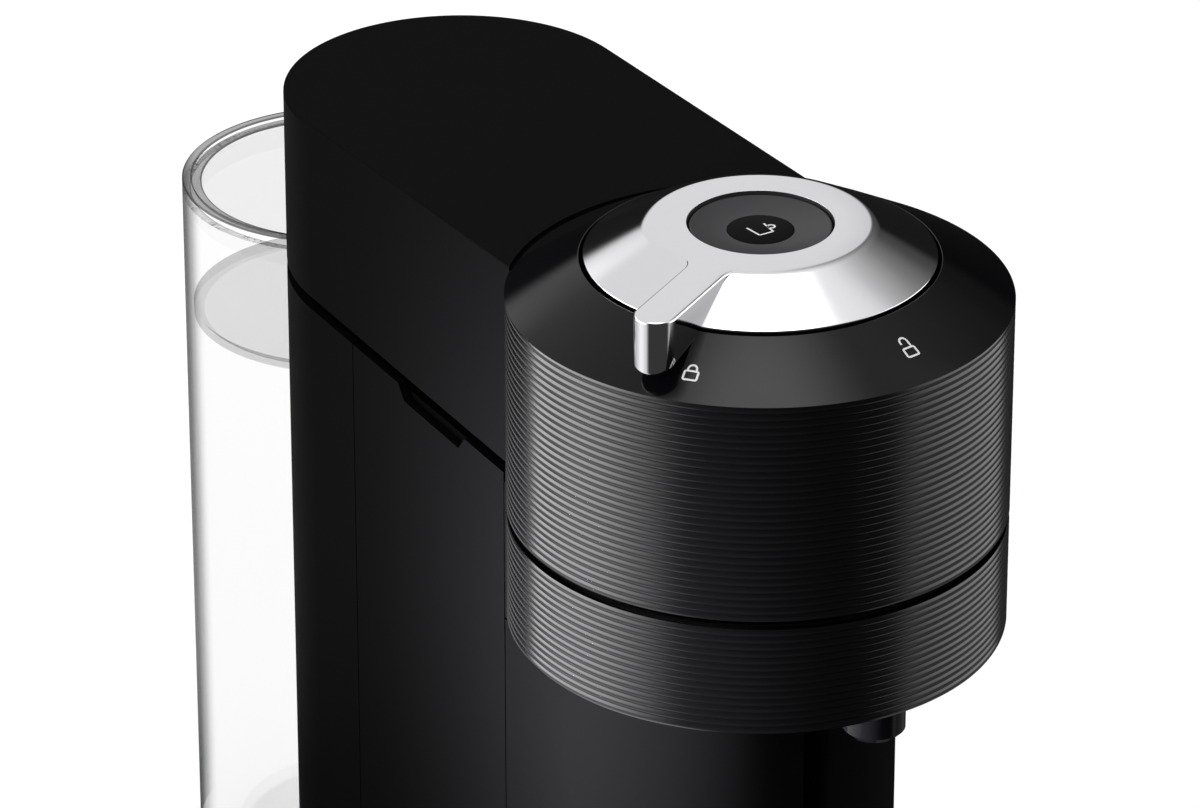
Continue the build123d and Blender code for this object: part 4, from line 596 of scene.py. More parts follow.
@dataclass
class LowerDrum(RibbedDrum):
    """The lower drum: a ring that runs into straight cheeks at the column."""

    node: str = "lower_drum"
    body: str = "machine"
    cheek_half_width: float = 51.6 * MM

    def make(self) -> None:
        """Builds the ring up to the column's width and a straight cheek at either side."""
        bottom, top = float(self.low[2]), float(self.high[2])
        rear = float(self.high[1])
        outer, inner = self.cheek_half_width, self.cheek_half_width - self.wall
        half = math.degrees(math.asin(outer / self.radius))
        join = self.centre_y + math.sqrt((self.radius - self.wall) ** 2 - inner**2)
        patches = [
            self.sector(bottom, top, 90 + half, 450 - half, self.steps),
            block((-outer, join, bottom), (-inner, rear, top), 1),
            block((inner, join, bottom), (outer, rear, top), 1),
        ]
        self.build(patches, "ribbed_lower_drum")


def head_axis() -> float:
    """The drum head's axis along Y: one radius behind the upper drum's foremost point."""
    low, high = node_box("upper_drum")
    return float(low[1] + high[0])


@dataclass
class ConeRing:
    """The gloss cone ring on the drum, turned finely in place of the CAD ring."""

    wall: float = 2.5 * MM
    edge: float = 0.3 * MM
    steps: int = 360

    def make(self) -> None:
        """Turns the section: a sloped wall whose lower face ends level with the rim."""
        rim, foot, top = round_sizes("top_ring")
        slope = (top - foot) / (rim - CONE_BORE)
        upright = self.wall * math.sqrt(1.0 + slope**2)
        section = rounded_section(
            [
                (rim - upright / slope, foot),
                (rim, foot),
                (CONE_BORE, top, self.edge),
                (CONE_BORE, top - upright),
            ]
        )
        ring = turned(section, head_axis(), self.steps, closed=True)
        piece = make_piece("cone_ring", [ring], (GLOSS_BLACK_ABS,), "head")
        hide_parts("top_ring")


@dataclass
class ChromeLever:
    """The chrome lever: a turned cone with a flat ring and a hub, and one arm."""

    base_radius: float = 49.2 * MM
    base_drop: float = 9.4 * MM
    top_radius: float = 31.8 * MM
    shoulder: float = 6.0 * MM
    hole_radius: float = 20.55 * MM
    hole_edge: float = 0.06 * MM
    # The chrome ends this far down the hole; below it the wall is dark plastic, painted shade for the gap
    # round the button
    plated: float = 0.1 * MM
    well: float = 5.5 * MM
    bore: float = 18.1 * MM
    hub_radius: float = 22.1 * MM
    skirt: float = 2.8 * MM
    wall: float = 2.5 * MM
    rim_edge: float = 0.3 * MM
    rounding_steps: int = 16
    arm_angle: float = 210.8
    arm_reach: float = 70.4 * MM
    arm_width: float = 12.0 * MM
    arm_root: float = 8.0 * MM
    root_overlap: float = 0.3 * MM
    root_turn: float = 4.0
    arm_edge: float = 0.7 * MM
    arm_foot_edge: float = 1.2 * MM
    arm_lift: float = 0.3 * MM
    tip_drop: float = 16.5 * MM
    tip_margin: float = 1.0 * MM
    tip_points: int = 48
    edge_points: int = 9
    sink: float = 0.005 * MM
    steps: int = 360
    top: float = field(init=False)
    low: float = field(init=False)

    def __post_init__(self) -> None:
        """Reads the lever's heights from the frame."""
        self.low, self.top = round_sizes("lever")[1:]

    @property
    def slope(self) -> float:
        """Fall of the cone per radius."""
        return self.base_drop / (self.base_radius - self.top_radius)

    @property
    def flat_radius(self) -> float:
        """Where the flat ring ends and its round shoulder starts."""
        return self.top_radius - self.shoulder * math.tan(math.atan(self.slope) / 2.0)

    def cone(self) -> list[Patch]:
        """The turned body in two skins that share their ends.

        The chrome one runs from the skirt's foot over the cone and the flat ring just into the hole. The
        plastic one goes on down the button's well and the hub, and back under the cone; in the hole it is
        painted shade.

        Returns:
            The chrome skin and the plastic skin.
        """
        base = self.top - self.base_drop
        roof = self.top - self.wall * math.sqrt(1.0 + self.slope**2)
        inner = self.base_radius - self.wall
        lip = self.top - self.plated
        plated = rounded_section(
            [
                (inner, base - self.skirt),
                (self.base_radius, base - self.skirt),
                (self.base_radius, base, self.rim_edge),
                (self.top_radius, self.top, self.shoulder),
                (self.hole_radius, self.top, self.hole_edge),
                (self.hole_radius, lip),
            ],
            self.rounding_steps,
        )
        # Painted shade: the hole's wall below the chrome lip is plastic, so the gap round the button stays
        # dark
        plain = np.array(
            [
                (self.hole_radius, lip),
                (self.hole_radius, self.top - self.well),
                (self.bore, self.top - self.well),
                (self.bore, self.low),
                (self.hub_radius, self.low),
                (self.hub_radius, roof),
                (self.top_radius - self.wall / 3.0, roof),
                (inner, base - self.wall / 2.0),
                (inner, base - self.skirt),
            ]
        )
        return [turned(skin, head_axis(), self.steps, i) for i, skin in enumerate((plated, plain))]

    def arm_outline(self) -> np.ndarray:
        """Plan of the arm along its own axis: two root fillets, straight sides and a round tip.

        Each fillet leaves the flat ring, and goes on under it, round its edge and a little inside.

        Returns:
            Points (along, across), anticlockwise.
        """
        half = self.arm_width / 2.0
        across = half + self.arm_root
        along = math.sqrt((self.flat_radius + self.arm_root) ** 2 - across**2)
        lean = math.degrees(math.atan2(across, along))
        end = lean + self.root_turn
        inner = self.flat_radius - self.root_overlap
        return np.concatenate(
            [
                arc((0.0, 0.0), inner, -end, -end, 1),
                arc((along, -across), self.arm_root, 180.0 - lean, 90.0),
                arc((self.arm_reach - half, 0.0), half, -90.0, 90.0, self.tip_points),
                arc((along, across), self.arm_root, 270.0, 180.0 + lean),
                arc((0.0, 0.0), inner, end, end, 1),
            ]
        )

    def underside(self, plan: np.ndarray) -> np.ndarray:
        """Height of the arm's lower face: level inside the cone, then falling evenly to the tip."""
        start = self.top - self.base_drop + self.arm_lift
        run = self.arm_reach + self.tip_margin - self.base_radius
        fall = (start - self.top + self.tip_drop) / run
        return start - fall * np.maximum(np.linalg.norm(plan, axis=-1) - self.base_radius, 0.0)

    def arm(self) -> Patch:
        """The arm as rows of its plan from the top's middle line, over both edges, to the lower middle line.

        A row is the plan drawn in by an inset and, for the faces, squeezed to its middle line. Over an edge
        of radius e, the inset is e (1 - sin t) and the drop e (1 - cos t), with t through a quarter turn.

        Returns:
            The closed surface.
        """
        plan = self.arm_outline()
        along = np.roll(plan, -1, axis=0) - np.roll(plan, 1, axis=0)
        outward = np.stack([along[:, 1], -along[:, 0]], axis=-1)
        outward /= np.linalg.norm(outward, axis=1, keepdims=True)
        turn = np.linspace(0.0, np.pi / 2.0, self.edge_points)
        back = turn[::-1]
        squeeze = np.concatenate([[0.0, 0.5], np.ones(2 * len(turn)), [0.5, 0.0]])
        upper, lower = self.arm_edge * (1.0 - np.sin(turn)), self.arm_foot_edge * (1.0 - np.sin(back))
        inset = np.concatenate([upper[[0, 0]], upper, lower, lower[[-1, -1]]])
        rows = plan[None, :, :] - inset[:, None, None] * outward[None, :, :]
        rows[:, :, 1] *= squeeze[:, None]
        ceiling = self.top - self.sink - self.arm_edge * (1.0 - np.cos(turn))
        floor = self.arm_foot_edge * (1.0 - np.cos(back))
        height = np.empty(rows.shape[:2])
        middle, last = 2 + len(turn), 2 + 2 * len(turn)
        height[:2] = ceiling[0]
        height[2:middle] = ceiling[:, None]
        height[middle:last] = self.underside(rows[middle:last]) + floor[:, None]
        height[last:] = self.underside(rows[last:])
        aim = math.radians(self.arm_angle)
        east = rows[:, :, 0] * math.cos(aim) - rows[:, :, 1] * math.sin(aim)
        north = rows[:, :, 0] * math.sin(aim) + rows[:, :, 1] * math.cos(aim)
        points = np.stack([east, head_axis() + north, height], axis=-1).reshape(-1, 3)
        return Patch(points, grid_faces(len(rows), len(plan), False))

    def make(self) -> None:
        """Builds the lever."""
        patches = [*self.cone(), self.arm()]
        finishes = (CHROME_PLATE, STRUCTURAL_PP)
        piece = make_piece("chrome_lever", patches, finishes, "locking_lever", sealed=True)
        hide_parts("lever")


@dataclass
class PushButton:
    """The dished push button and the lens in its middle, both turned finely."""

    edge: float = 0.4 * MM
    dish_radius: float = 9.45 * MM
    dish_depth: float = 1.5 * MM
    dish_power: float = 1.4
    dish_points: int = 14
    seat_depth: float = 2.2 * MM
    head: float = 3.2 * MM
    stem_radius: float = 5.0 * MM
    lens_edge: float = 0.25 * MM
    steps: int = 240

    def make(self) -> None:
        """Turns both pieces; the dish falls inwards by depth times the share of the way to a power."""
        radius, foot, top = round_sizes("button")
        share = np.linspace(1.0, 0.0, self.dish_points)
        dish = np.stack(
            [
                self.dish_radius + share * (radius - self.dish_radius),
                top - self.dish_depth * (1.0 - share**self.dish_power),
                np.where(share == 1.0, self.edge, 0.0),
            ],
            axis=-1,
        )
        button = rounded_section(
            [
                (0.0, foot),
                (self.stem_radius, foot),
                (self.stem_radius, top - self.head),
                (radius, top - self.head),
                *(tuple(spot) for spot in dish),
                (self.dish_radius, top - self.seat_depth),
                (0.0, top - self.seat_depth),
            ]
        )
        radius, foot, top = round_sizes("button_lens")
        lens = rounded_section([(0.0, foot), (radius, foot), (radius, top, self.lens_edge), (0.0, top)])
        for node, section, finish, slot in (
            ("button", button, BUTTON_ABS, "button_plastic"),
            ("button_lens", lens, LENS_ACRYLIC, "button_lens"),
        ):
            skin = turned(section, head_axis(), self.steps, closed=True)
            piece = make_piece(f"turned_{node}", [skin], (finish,), "start_button", sealed=True)
            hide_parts(node)


def tank_axis() -> float:
    """The tank's axis along Y: the middle of its box."""
    low, high = node_box("water_tank")
    return float(low[1] + high[1]) / 2.0


@dataclass
class WaterTank:
    """The clear tank and its stepped lid, turned finely."""

    floor: float = 3.0 * MM
    foot_edge: float = 1.5 * MM
    foot_points: int = 9
    # Radius of the near-white floor disc, painted light for the surroundings seen through the floor
    painted_light_disc: float = 36.0 * MM
    valve_hole: float = 9.0 * MM
    collar_wall: float = 1.6 * MM
    collar_gap: float = 0.3 * MM
    rim_width: float = 3.0 * MM
    step_width: float = 6.0 * MM
    step_drop: float = 1.3 * MM
    plate_drop: float = 2.1 * MM
    lid_edge: float = 0.5 * MM
    window_steps: int = 16
    steps: int = 256

    def shell(self) -> None:
        """Builds the tank as two skins, with a square window for the valve at the front.

        The outer skin runs from the floor's middle to the rim and the inner one back down; across the
        window's width both are split at its sill and lintel, and four strips close its sides.
        """
        radius, foot, top = round_sizes("water_tank")
        inner, level = radius - TANK_WALL, foot + self.floor
        middle = sum(round_sizes("tank_valve")[1:]) / 2.0
        sill, lintel = middle - self.valve_hole, middle + self.valve_hole
        half = math.degrees(math.asin(self.valve_hole / inner))
        rounding = np.radians(np.linspace(-90.0, 0.0, self.foot_points))
        corner = np.stack(
            [
                radius - self.foot_edge * (1.0 - np.cos(rounding)),
                foot + self.foot_edge * (1.0 + np.sin(rounding)),
            ],
            axis=-1,
        )
        lower_outer = np.concatenate([[[0.0, foot]], corner, [[radius, sill]]])
        upper_outer = np.array([[radius, lintel], [radius, top]])
        upper_inner = np.array([[radius, top], [inner, top], [inner, lintel]])
        lower_inner = np.array([[inner, sill], [inner, level]])
        outer_floor = np.array([[inner, level], [self.painted_light_disc, level]])
        # Painted light: the floor's middle gets the near-white finish
        inner_floor = np.array([[self.painted_light_disc, level], [0.0, level]])
        front, back = (270.0 - half, 270.0 + half), (270.0 + half, 630.0 - half)
        runs = [
            (np.concatenate([lower_outer, upper_outer]), 0, back),
            (np.concatenate([upper_inner, lower_inner]), 1, back),
            (np.array([[radius, sill], [inner, sill]]), 1, front),
            (np.array([[inner, lintel], [radius, lintel]]), 1, front),
            (lower_outer, 0, front),
            (upper_outer, 0, front),
            (upper_inner, 1, front),
            (lower_inner, 1, front),
            (outer_floor, 1, front),
            (outer_floor, 1, back),
            (inner_floor, 2, front),
            (inner_floor, 2, back),
        ]
        patches = [
            turned(curve, tank_axis(), self.steps if span is back else self.window_steps, finish, span)
            for curve, finish, span in runs
        ]
        cheek = np.array([[inner, sill], [radius, sill], [radius, lintel], [inner, lintel]])
        for angle, face in zip(front, ((3, 2, 1, 0), (0, 1, 2, 3))):
            patches.append(Patch(around(cheek, tank_axis(), np.radians([angle])), [face], 1))
        finishes = (CLEAR_SAN, CLEAR_SAN_INSIDE, PAINTED_LIGHT_FLOOR)
        piece = make_piece("tank_shell", patches, finishes, "tank", sealed=True)
        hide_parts("water_tank")

    def lid(self) -> None:
        """Turns the lid: a plate, two steps up to its rim, and a collar that hangs into the tank.

        Each run of the section is a skin of its own, so that the rounded edges can be darker than the faces,
        as painted shade.
        """
        radius, foot, top = round_sizes("tank_lid")
        seat = round_sizes("water_tank")[2]
        collar, edge = radius - TANK_WALL - self.collar_gap, self.lid_edge
        rim, step = radius - self.rim_width, radius - self.step_width
        tread, plate = top - self.step_drop, top - self.plate_drop
        outer_edge = arc((radius - edge, top - edge), edge, 0.0, 90.0, EDGE_POINTS)
        inner_edge = arc((rim + edge, top - edge), edge, 90.0, 180.0, EDGE_POINTS)
        step_edge = arc((step + edge, tread - edge), edge, 90.0, 180.0, EDGE_POINTS)
        under = [(0.0, seat), (collar - self.collar_wall, seat), (collar - self.collar_wall, foot)]
        runs = [
            ([*under, (collar, foot), (collar, seat)], 4),
            ([(collar, seat), (radius, seat)], 1),
            ([(radius, seat), outer_edge[0]], 3),
            (outer_edge, 2),
            ([outer_edge[-1], inner_edge[0]], 1),
            (inner_edge, 2),
            ([inner_edge[-1], (rim, tread)], 3),
            ([(rim, tread), step_edge[0]], 1),
            (step_edge, 2),
            ([step_edge[-1], (step, plate), (0.0, plate)], 0),
        ]
        patches = [turned(np.array(curve), tank_axis(), self.steps, finish) for curve, finish in runs]
        finishes = (LID_PLATE, LID_RIM, LID_EDGE, CLEAR_SAN, CLEAR_SAN_INSIDE)
        piece = make_piece("stepped_lid", patches, finishes, "tank", sealed=True)
        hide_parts("tank_lid")

    def make(self) -> None:
        """Builds the tank and its lid."""
        self.shell()
        self.lid()


@dataclass
class TankWater:
    """The water's surface in the tank, some way under the rim, with its raised edge at the wall."""

    level_drop: float = 41.0 * MM
    gap: float = 0.3 * MM
    depth: float = 0.6 * MM
    edge_width: float = 3.2 * MM
    edge_rise: float = 2.8 * MM
    steps: int = 160

    def make(self) -> None:
        """Turns the surface as a thin disc whose edge climbs the wall by the square of its way out."""
        tank_radius, _, tank_top = round_sizes("water_tank")
        radius, top = tank_radius - TANK_WALL - self.gap, tank_top - self.level_drop
        climb = np.linspace(0.0, 1.0, EDGE_POINTS)
        edge = np.stack([radius - self.edge_width * (1.0 - climb), top + self.edge_rise * climb**2], axis=-1)
        disc = np.array([edge[0], (0.0, top), (0.0, top - self.depth), (radius, top - self.depth)])
        rim = np.array([disc[-1], *edge[::-1]])
        patches = [turned(skin, tank_axis(), self.steps, i) for i, skin in enumerate((disc, rim))]
        # Both finishes grey the water as painted reflection
        make_piece("tank_water", patches, (WATER, WATER_EDGE), "tank", sealed=True)


def stroke(path: np.ndarray, width: float, depth: float, place: Place, closed: bool = False) -> Patch:
    """A flat printed line along a path.

    The section is a rectangle: half the width to either side of the path and from just under the surface to
    depth above it. place turns (across, up, height) into a point of the machine.

    Args:
        path: points (across, up) in metres.
        width: line width in metres.
        depth: ink thickness in metres.
        place: maps an array (..., 3) of sign coordinates to machine coordinates.
        closed: whether the path joins up.

    Returns:
        The closed line.
    """
    if closed:
        along = np.roll(path, -1, axis=0) - np.roll(path, 1, axis=0)
    else:
        along = np.gradient(path, axis=0)
    along /= np.linalg.norm(along, axis=1, keepdims=True)
    side = np.stack([along[:, 1], -along[:, 0]], axis=-1) * width / 2
    section = np.array([(1, depth), (-1, depth), (-1, -depth), (1, -depth)])
    flat = path[:, None, :] + section[None, :, :1] * side[:, None, :]
    lift = np.broadcast_to(section[None, :, 1:], (*flat.shape[:2], 1))
    faces = grid_faces(len(path), len(section), closed)
    if not closed:
        last = (len(path) - 1) * len(section)
        faces.append((0, 1, 2, 3))
        faces.append((last + 3, last + 2, last + 1, last))
    return Patch(place(np.concatenate([flat, lift], axis=-1).reshape(-1, 3)), faces)


def rounded_frame(width: float, height: float, corner: float, centre: tuple[float, float]) -> np.ndarray:
    """Closed outline of a rectangle with round corners.

    Args:
        width: outer width of the path.
        height: outer height of the path.
        corner: corner radius.
        centre: the rectangle's middle.

    Returns:
        Points of the outline, anticlockwise.
    """
    x, y = width / 2 - corner, height / 2 - corner
    spots = [((x, y), 0), ((-x, y), 90), ((-x, -y), 180), ((x, -y), 270)]
    runs = [arc(spot, corner, turn, turn + 90, EDGE_POINTS) for spot, turn in spots]
    return np.array(centre) + np.concatenate(runs)


class LockState(Enum):
    """What a padlock sign shows."""

    CLOSED = "closed"
    OPEN = "open"


@dataclass
class PadlockSign:
    """A printed padlock on the cone ring, its foot towards the rim."""

    state: LockState
    plan_angle: float
    radius: float
    body_width: float = 3.8 * MM
    body_height: float = 2.9 * MM
    body_drop: float = 1.1 * MM
    corner: float = 0.5 * MM
    shackle: float = 1.25 * MM
    leg: float = 0.7 * MM
    line: float = 0.6 * MM
    ink: float = 0.05 * MM
    lift: float = 1.5 * MM

    def on_cone(self, spots: np.ndarray) -> np.ndarray:
        """Lays sign coordinates on the cone ring.

        Up runs up the cone towards the axis and across runs round it: the radius is r0 - up cos s, the plan
        angle a0 + across / r0, and the height rises from the rim by the cone's slope s.

        Args:
            spots: points (across, up, height over the surface) in metres.

        Returns:
            Points of the machine.
        """
        low, high = node_box("top_ring")
        rim = float(high[0])
        centre_y = float(low[1]) + rim
        slope = math.atan2(float(high[2] - low[2]), rim - CONE_BORE)
        radius = self.radius - spots[:, 1] * math.cos(slope) + spots[:, 2] * math.sin(slope)
        angle = math.radians(self.plan_angle) + spots[:, 0] / self.radius
        height = low[2] + (rim - self.radius) * math.tan(slope)
        height = height + spots[:, 1] * math.sin(slope) + spots[:, 2] * math.cos(slope)
        return np.stack([radius * np.cos(angle), centre_y + radius * np.sin(angle), height], axis=-1)

    def make(self) -> None:
        """Prints the body's frame and the shackle, which an open lock has lifted off on one side."""
        frame = rounded_frame(self.body_width, self.body_height, self.corner, (0.0, -self.body_drop))
        foot = self.body_height / 2 - self.body_drop
        rise = self.lift if self.state is LockState.OPEN else 0.0
        bow = arc((0.0, foot + self.leg + rise), self.shackle, 0, 180)
        shackle = np.concatenate([[[self.shackle, foot]], bow, [[-self.shackle, foot + rise]]])
        patches = [
            stroke(frame, self.line, self.ink, self.on_cone, closed=True),
            stroke(shackle, self.line, self.ink, self.on_cone),
        ]
        name = f"padlock_sign_{self.state.value}"
        make_piece(name, patches, (WHITE_INK,), "head")


@dataclass
class CupSign:
    """A printed cup on the button's lens, upright for someone in front of the machine."""

    foot_width: float = 4.5 * MM
    rim_width: float = 5.6 * MM
    height: float = 5.7 * MM
    drop: float = 0.15 * MM
    side_points: int = 6
    handle: float = 1.0 * MM
    handle_rise: float = 3.0 * MM
    handle_turn: float = 345.0
    handle_points: int = 28
    line: float = 0.55 * MM
    ink: float = 0.04 * MM

    def on_lens(self, spots: np.ndarray) -> np.ndarray:
        """Lays sign coordinates flat on the lens: across is X, up is Y, height is over its top face."""
        low, high = node_box("button_lens")
        middle = (low + high) / 2
        return spots + np.array([middle[0], middle[1], high[2]])

    def make(self) -> None:
        """Prints the cup's three sides and its round handle."""
        base = -self.height / 2 - self.drop
        rim_height = base + self.height
        foot, rim = self.foot_width / 2, self.rim_width / 2
        corners = np.array([[-rim, rim_height], [-foot, base], [foot, base], [rim, rim_height]])
        sides = [np.linspace(corners[i], corners[i + 1], self.side_points) for i in range(3)]
        patches = [stroke(side, self.line, self.ink, self.on_lens) for side in sides]
        handle_x = foot + (rim - foot) * self.handle_rise / self.height + self.handle
        middle = (handle_x, base + self.handle_rise)
        loop = arc(middle, self.handle, 0.0, self.handle_turn, self.handle_points)
        patches.append(stroke(loop, self.line, self.ink, self.on_lens, closed=True))
        make_piece("cup_sign", patches, (WHITE_INK,), "start_button")


def direction(azimuth: np.ndarray | float, elevation: np.ndarray | float) -> np.ndarray:
    """Unit vectors of directions in degrees: azimuth 0 is before the machine, 90 on its right.

    At azimuth a and elevation e the vector is (sin a cos e, -cos a cos e, sin e).

    Args:
        azimuth: plan angles in degrees.
        elevation: angles over the horizon in degrees.

    Returns:
        Vectors (..., 3).
    """
    turn, rise = np.radians(azimuth), np.radians(elevation)
    return np.stack([np.sin(turn) * np.cos(rise), -np.cos(turn) * np.cos(rise), np.sin(rise)], axis=-1)


def facing(azimuth: float, elevation: float) -> tuple[float, float, float]:
    """Rotation of a lamp or camera that looks back from a direction in degrees."""
    return (math.pi / 2 - math.radians(elevation), 0.0, math.radians(azimuth))


def hide_from(holder: bpy.types.Object, *rays: str) -> None:
    """Hides an object from kinds of rays."""
    for ray in rays:
        setattr(holder, f"visible_{ray}", False)


@dataclass(frozen=True)
class Softbox:
    """A soft lamp that faces the drum head, or a point set off from it."""

    name: str
    azimuth: float
    elevation: float
    distance: float
    width: float
    height: float
    radiance: float
    spread: float = 180.0
    aim: tuple[float, float, float] = (0.0, 0.0, 0.0)

    def make(self, target: np.ndarray) -> None:
        """Hangs the lamp, whose power is radiance times pi times its area.

        Args:
            target: the drum's axis at the height of its upper edge.
        """
        lamp = bpy.data.lights.new(self.name, "AREA")
        lamp.shape = "RECTANGLE"
        lamp.size, lamp.size_y = self.width, self.height
        lamp.energy = self.radiance * math.pi * self.width * self.height
        lamp.spread = math.radians(self.spread)
        holder = put(self.name, lamp)
        hide_from(holder, "camera", "glossy")
        away = direction(self.azimuth, self.elevation)
        holder.location = target + np.array(self.aim) + away * self.distance
        holder.rotation_euler = facing(self.azimuth, self.elevation)
        LOG.info("lamp %s", self.name)


def smooth(share: np.ndarray) -> np.ndarray:
    """Soft step 3 t^2 - 2 t^3 of a share held between zero and one."""
    held = np.clip(share, 0.0, 1.0)
    return held**2 * (3.0 - 2.0 * held)


@dataclass(frozen=True)
class Field:
    """A soft-edged field of the surroundings, brighter or darker than the white round it.

    Angles are in degrees as seen from the drum head.
    """

    name: str
    azimuth: float
    half_width: float
    side_fade: float
    low: float
    high: float
    rise_fade: float
    level: float

    def weight(self, azimuth: np.ndarray, elevation: np.ndarray) -> np.ndarray:
        """One inside the field, zero outside, with a soft step across each fade.

        Args:
            azimuth: plan angles in degrees.
            elevation: angles over the horizon in degrees.

        Returns:
            The weight at each direction.
        """
        off = np.abs((azimuth - self.azimuth + 180.0) % 360.0 - 180.0)
        sides = smooth((self.half_width - off) / self.side_fade)
        above = smooth((elevation - self.low) / self.rise_fade)
        return sides * (above * smooth((self.high - elevation) / self.rise_fade))


@dataclass(frozen=True)
class ReflectionDome:
    """Soft lamps and dark cards round the machine as one dome that shows only in reflections."""

    fields: tuple[Field, ...]
    radius: float = 1.6
    lowest: float = -82.0
    clearance: float = 0.004
    least_drop: float = 1e-6
    columns: int = 240
    rows: int = 173

    def make(self, centre: np.ndarray) -> None:
        """Builds the dome, with the glow of its fields on each point.

        Each point lies at the dome's radius from its centre; below the horizon the distance is cut so that
        the dome stays above the floor. The glow starts as white, and each field in turn draws it towards its
        own level by its weight.

        Args:
            centre: the point that the dome is round.
        """
        azimuth, elevation = np.meshgrid(
            np.linspace(*WHOLE_TURN, self.columns, endpoint=False), np.linspace(90.0, self.lowest, self.rows)
        )
        aim = direction(azimuth, elevation)
        drop = np.maximum(-aim[:, :, 2], self.least_drop)
        distance = np.minimum(self.radius, (centre[2] - self.clearance) / drop)[:, :, None]
        glow = np.ones_like(azimuth)
        for area in self.fields:
            glow += (area.level - glow) * area.weight(azimuth, elevation)
            LOG.info("reflected field %s", area.name)
        mesh = bpy.data.meshes.new("reflection_dome")
        points = (centre + aim * distance).reshape(-1, 3)
        mesh.from_pydata(points.tolist(), [], grid_faces(self.rows, self.columns, False))
        levels = mesh.attributes.new("glow", "FLOAT", "POINT")
        levels.data.foreach_set("value", glow.ravel().astype(np.float32))
        paper = bpy.data.materials.new("lit studio paper")
        tree = blank_tree(paper)
        level = add_node(tree, "ShaderNodeAttribute", {}, attribute_name="glow")
        light = add_node(tree, "ShaderNodeEmission", {"Strength": level.outputs["Fac"]})
        add_node(tree, "ShaderNodeOutputMaterial", {"Surface": light.outputs[0]})
        mesh.materials.append(paper)
        dome = put("reflection_dome", mesh)
        hide_from(dome, "camera", "diffuse", "transmission", "shadow")


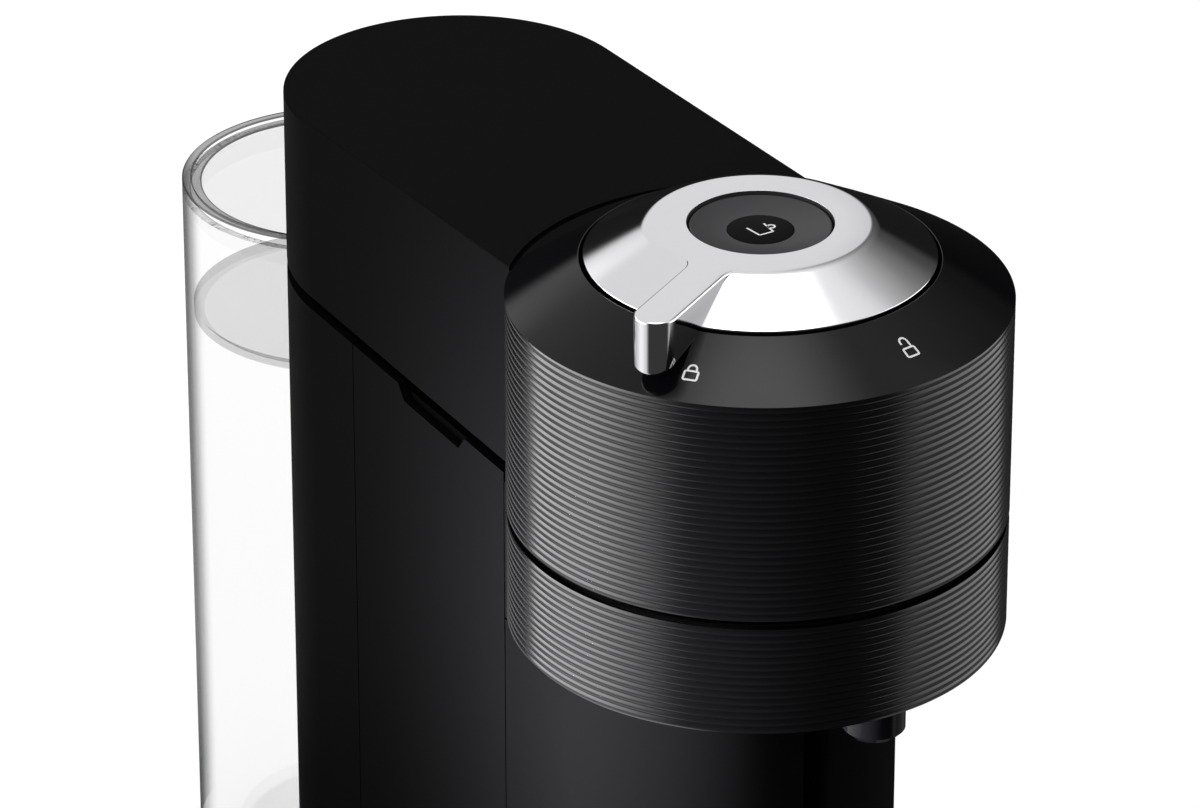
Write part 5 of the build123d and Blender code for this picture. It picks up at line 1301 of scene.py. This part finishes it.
@dataclass
class Studio:
    """White floor and surroundings, soft lamps, what shows in reflections, and the camera."""

    image_width: float = 1200.0
    image_height: float = 808.0
    focal_pixels: float = 7000.0
    sensor: float = 36.0
    clip_end: float = 50.0
    azimuth: float = -32.03
    elevation: float = 26.93
    distance: float = 1942.31 * MM
    target_pixel: tuple[float, float] = (759.81, 292.14)
    floor_size: float = 12.0
    floor_colour: str = "#707070"
    floor_roughness: float = 0.9
    floor_glow: float = 0.86
    ambient: float = 0.2
    lamps: tuple[Softbox, ...] = (
        Softbox("left softbox", -82.0, 16.0, 1.1, 1.8, 0.9, 2.3),
        Softbox("left grid lamp", -112.0, -12.0, 0.62, 0.25, 0.16, 25.0, 30.0, (0.0, -0.13, -0.08)),
        Softbox("rear softbox", 160.0, 14.0, 1.3, 1.2, 0.8, 4.0),
        Softbox("right softbox", 69.0, 22.0, 1.4, 1.9, 0.9, 2.0),
        Softbox("overhead softbox", 150.0, 84.0, 1.2, 0.55, 0.55, 5.0),
    )
    dome: ReflectionDome = ReflectionDome(
        (
            Field("left floor", -132.0, 50.0, 25.0, -120.0, -6.0, 8.0, 1.35),
            Field("right floor", 78.0, 45.0, 15.0, -120.0, -6.0, 8.0, 0.3),
            Field("rear floor", 148.0, 28.0, 8.0, -120.0, 16.0, 8.0, 0.1),
            Field("left softbox", -128.0, 58.0, 44.0, -12.0, 34.0, 14.0, 7.5),
            Field("right softbox", 80.0, 50.0, 35.0, -12.0, 34.0, 14.0, 2.8),
            Field("right halo", 100.0, 60.0, 40.0, 44.0, 180.0, 24.0, 1.2),
            Field("overhead softbox", 0.0, 360.0, 1.0, 63.5, 180.0, 22.0, 5.7),
            Field("front card", -20.0, 64.0, 20.0, -120.0, 62.0, 12.0, 0.05),
            Field("left rear card", 178.0, 26.0, 8.0, -120.0, 22.0, 14.0, 0.06),
            Field("right rear card", 118.0, 28.0, 8.0, -120.0, 66.0, 46.0, 0.08),
            Field("dark rear floor", 164.0, 53.0, 5.0, -120.0, 20.0, 6.0, 0.012),
            Field("light on the rear floor", 206.0, 48.0, 44.0, -46.0, -8.0, 12.0, 0.7),
        )
    )

    def head_top(self) -> np.ndarray:
        """The drum's axis at the height of its upper edge, which the camera is set by."""
        return np.array([0.0, head_axis(), round_sizes("upper_drum")[2]])

    def seen_directly(self, tree: bpy.types.NodeTree) -> bpy.types.NodeSocket:
        """Adds a mask that is one for what camera, mirror and clear surfaces see.

        Args:
            tree: the node tree that gets the mask.

        Returns:
            The mask's output.
        """
        path = add_node(tree, "ShaderNodeLightPath", {})
        mask = path.outputs["Is Camera Ray"]
        for ray in ("Is Glossy Ray", "Is Transmission Ray"):
            either = add_node(tree, "ShaderNodeMath", {0: mask, 1: path.outputs[ray]}, operation="MAXIMUM")
            mask = either.outputs[0]
        return mask

    def make_world(self) -> None:
        """White surroundings for the eye, with a lower ambient light on the object."""
        world = bpy.data.worlds.new("white studio")
        bpy.context.scene.world = world
        tree = blank_tree(world)
        strength = add_node(
            tree, "ShaderNodeMapRange",
            {"Value": self.seen_directly(tree), "To Min": self.ambient, "To Max": 1.0},
        )
        shade = add_node(
            tree, "ShaderNodeBackground", {"Color": linear(WHITE), "Strength": strength.outputs[0]}
        )
        add_node(tree, "ShaderNodeOutputWorld", {"Surface": shade.outputs[0]})

    def make_floor(self) -> None:
        """A white floor that keeps the object's soft shadow."""
        half = self.floor_size / 2
        mesh = bpy.data.meshes.new("studio_floor")
        square = [(-half, -half, 0), (half, -half, 0), (half, half, 0), (-half, half, 0)]
        mesh.from_pydata(square, [], [(0, 1, 2, 3)])
        paint = bpy.data.materials.new("matt white paint")
        tree = blank_tree(paint)
        seen = self.seen_directly(tree)
        glow = add_node(tree, "ShaderNodeMath", {0: seen, 1: self.floor_glow}, operation="MULTIPLY")
        shader = add_node(
            tree, "ShaderNodeBsdfPrincipled",
            {
                "Base Color": linear(self.floor_colour), "Roughness": self.floor_roughness,
                "Specular IOR Level": 0.0, "Emission Color": linear(WHITE),
                "Emission Strength": glow.outputs[0],
            },
        )
        add_node(tree, "ShaderNodeOutputMaterial", {"Surface": shader.outputs[0]})
        mesh.materials.append(paint)
        floor = put("studio_floor", mesh)

    def make_camera(self) -> None:
        """Places the camera so that the drum's upper edge has its centre at the target pixel."""
        back = direction(self.azimuth, self.elevation)
        right = direction(self.azimuth + 90.0, 0.0)
        up = np.cross(back, right)
        across = (self.target_pixel[0] - self.image_width / 2) / self.focal_pixels * self.distance
        down = (self.target_pixel[1] - self.image_height / 2) / self.focal_pixels * self.distance
        lens = bpy.data.cameras.new("camera")
        lens.sensor_fit = "HORIZONTAL"
        lens.sensor_width = self.sensor
        lens.lens = self.focal_pixels / self.image_width * self.sensor
        lens.clip_end = self.clip_end
        holder = put("camera", lens)
        holder.location = self.head_top() + self.distance * back - across * right + down * up
        holder.rotation_euler = facing(self.azimuth, self.elevation)
        bpy.context.scene.camera = holder

    def make(self) -> None:
        """Sets up the whole studio."""
        bpy.context.scene.view_settings.view_transform = "Standard"
        self.make_world()
        self.make_floor()
        for lamp in self.lamps:
            lamp.make(self.head_top())
        self.dome.make(self.head_top())
        self.make_camera()


def corners(box: tuple) -> list[list[float]]:
    """A box as plain lists of numbers."""
    return [[float(value) for value in corner] for corner in box]


def main() -> None:
    """Builds every piece on the frame."""
    logging.basicConfig(level=logging.INFO, format="%(name)s: %(message)s")
    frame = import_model()
    dress_frame(frame)
    pieces = [UpperDrum(), LowerDrum(), ConeRing(), ChromeLever(), PushButton(), WaterTank(), TankWater()]
    closed_sign = PadlockSign(LockState.CLOSED, plan_angle=219.6, radius=62.3 * MM)
    open_sign = PadlockSign(LockState.OPEN, plan_angle=278.3, radius=60.9 * MM)
    for piece in (*pieces, closed_sign, open_sign, CupSign(), Studio()):
        piece.make()


if __name__ == "__main__":
    main()
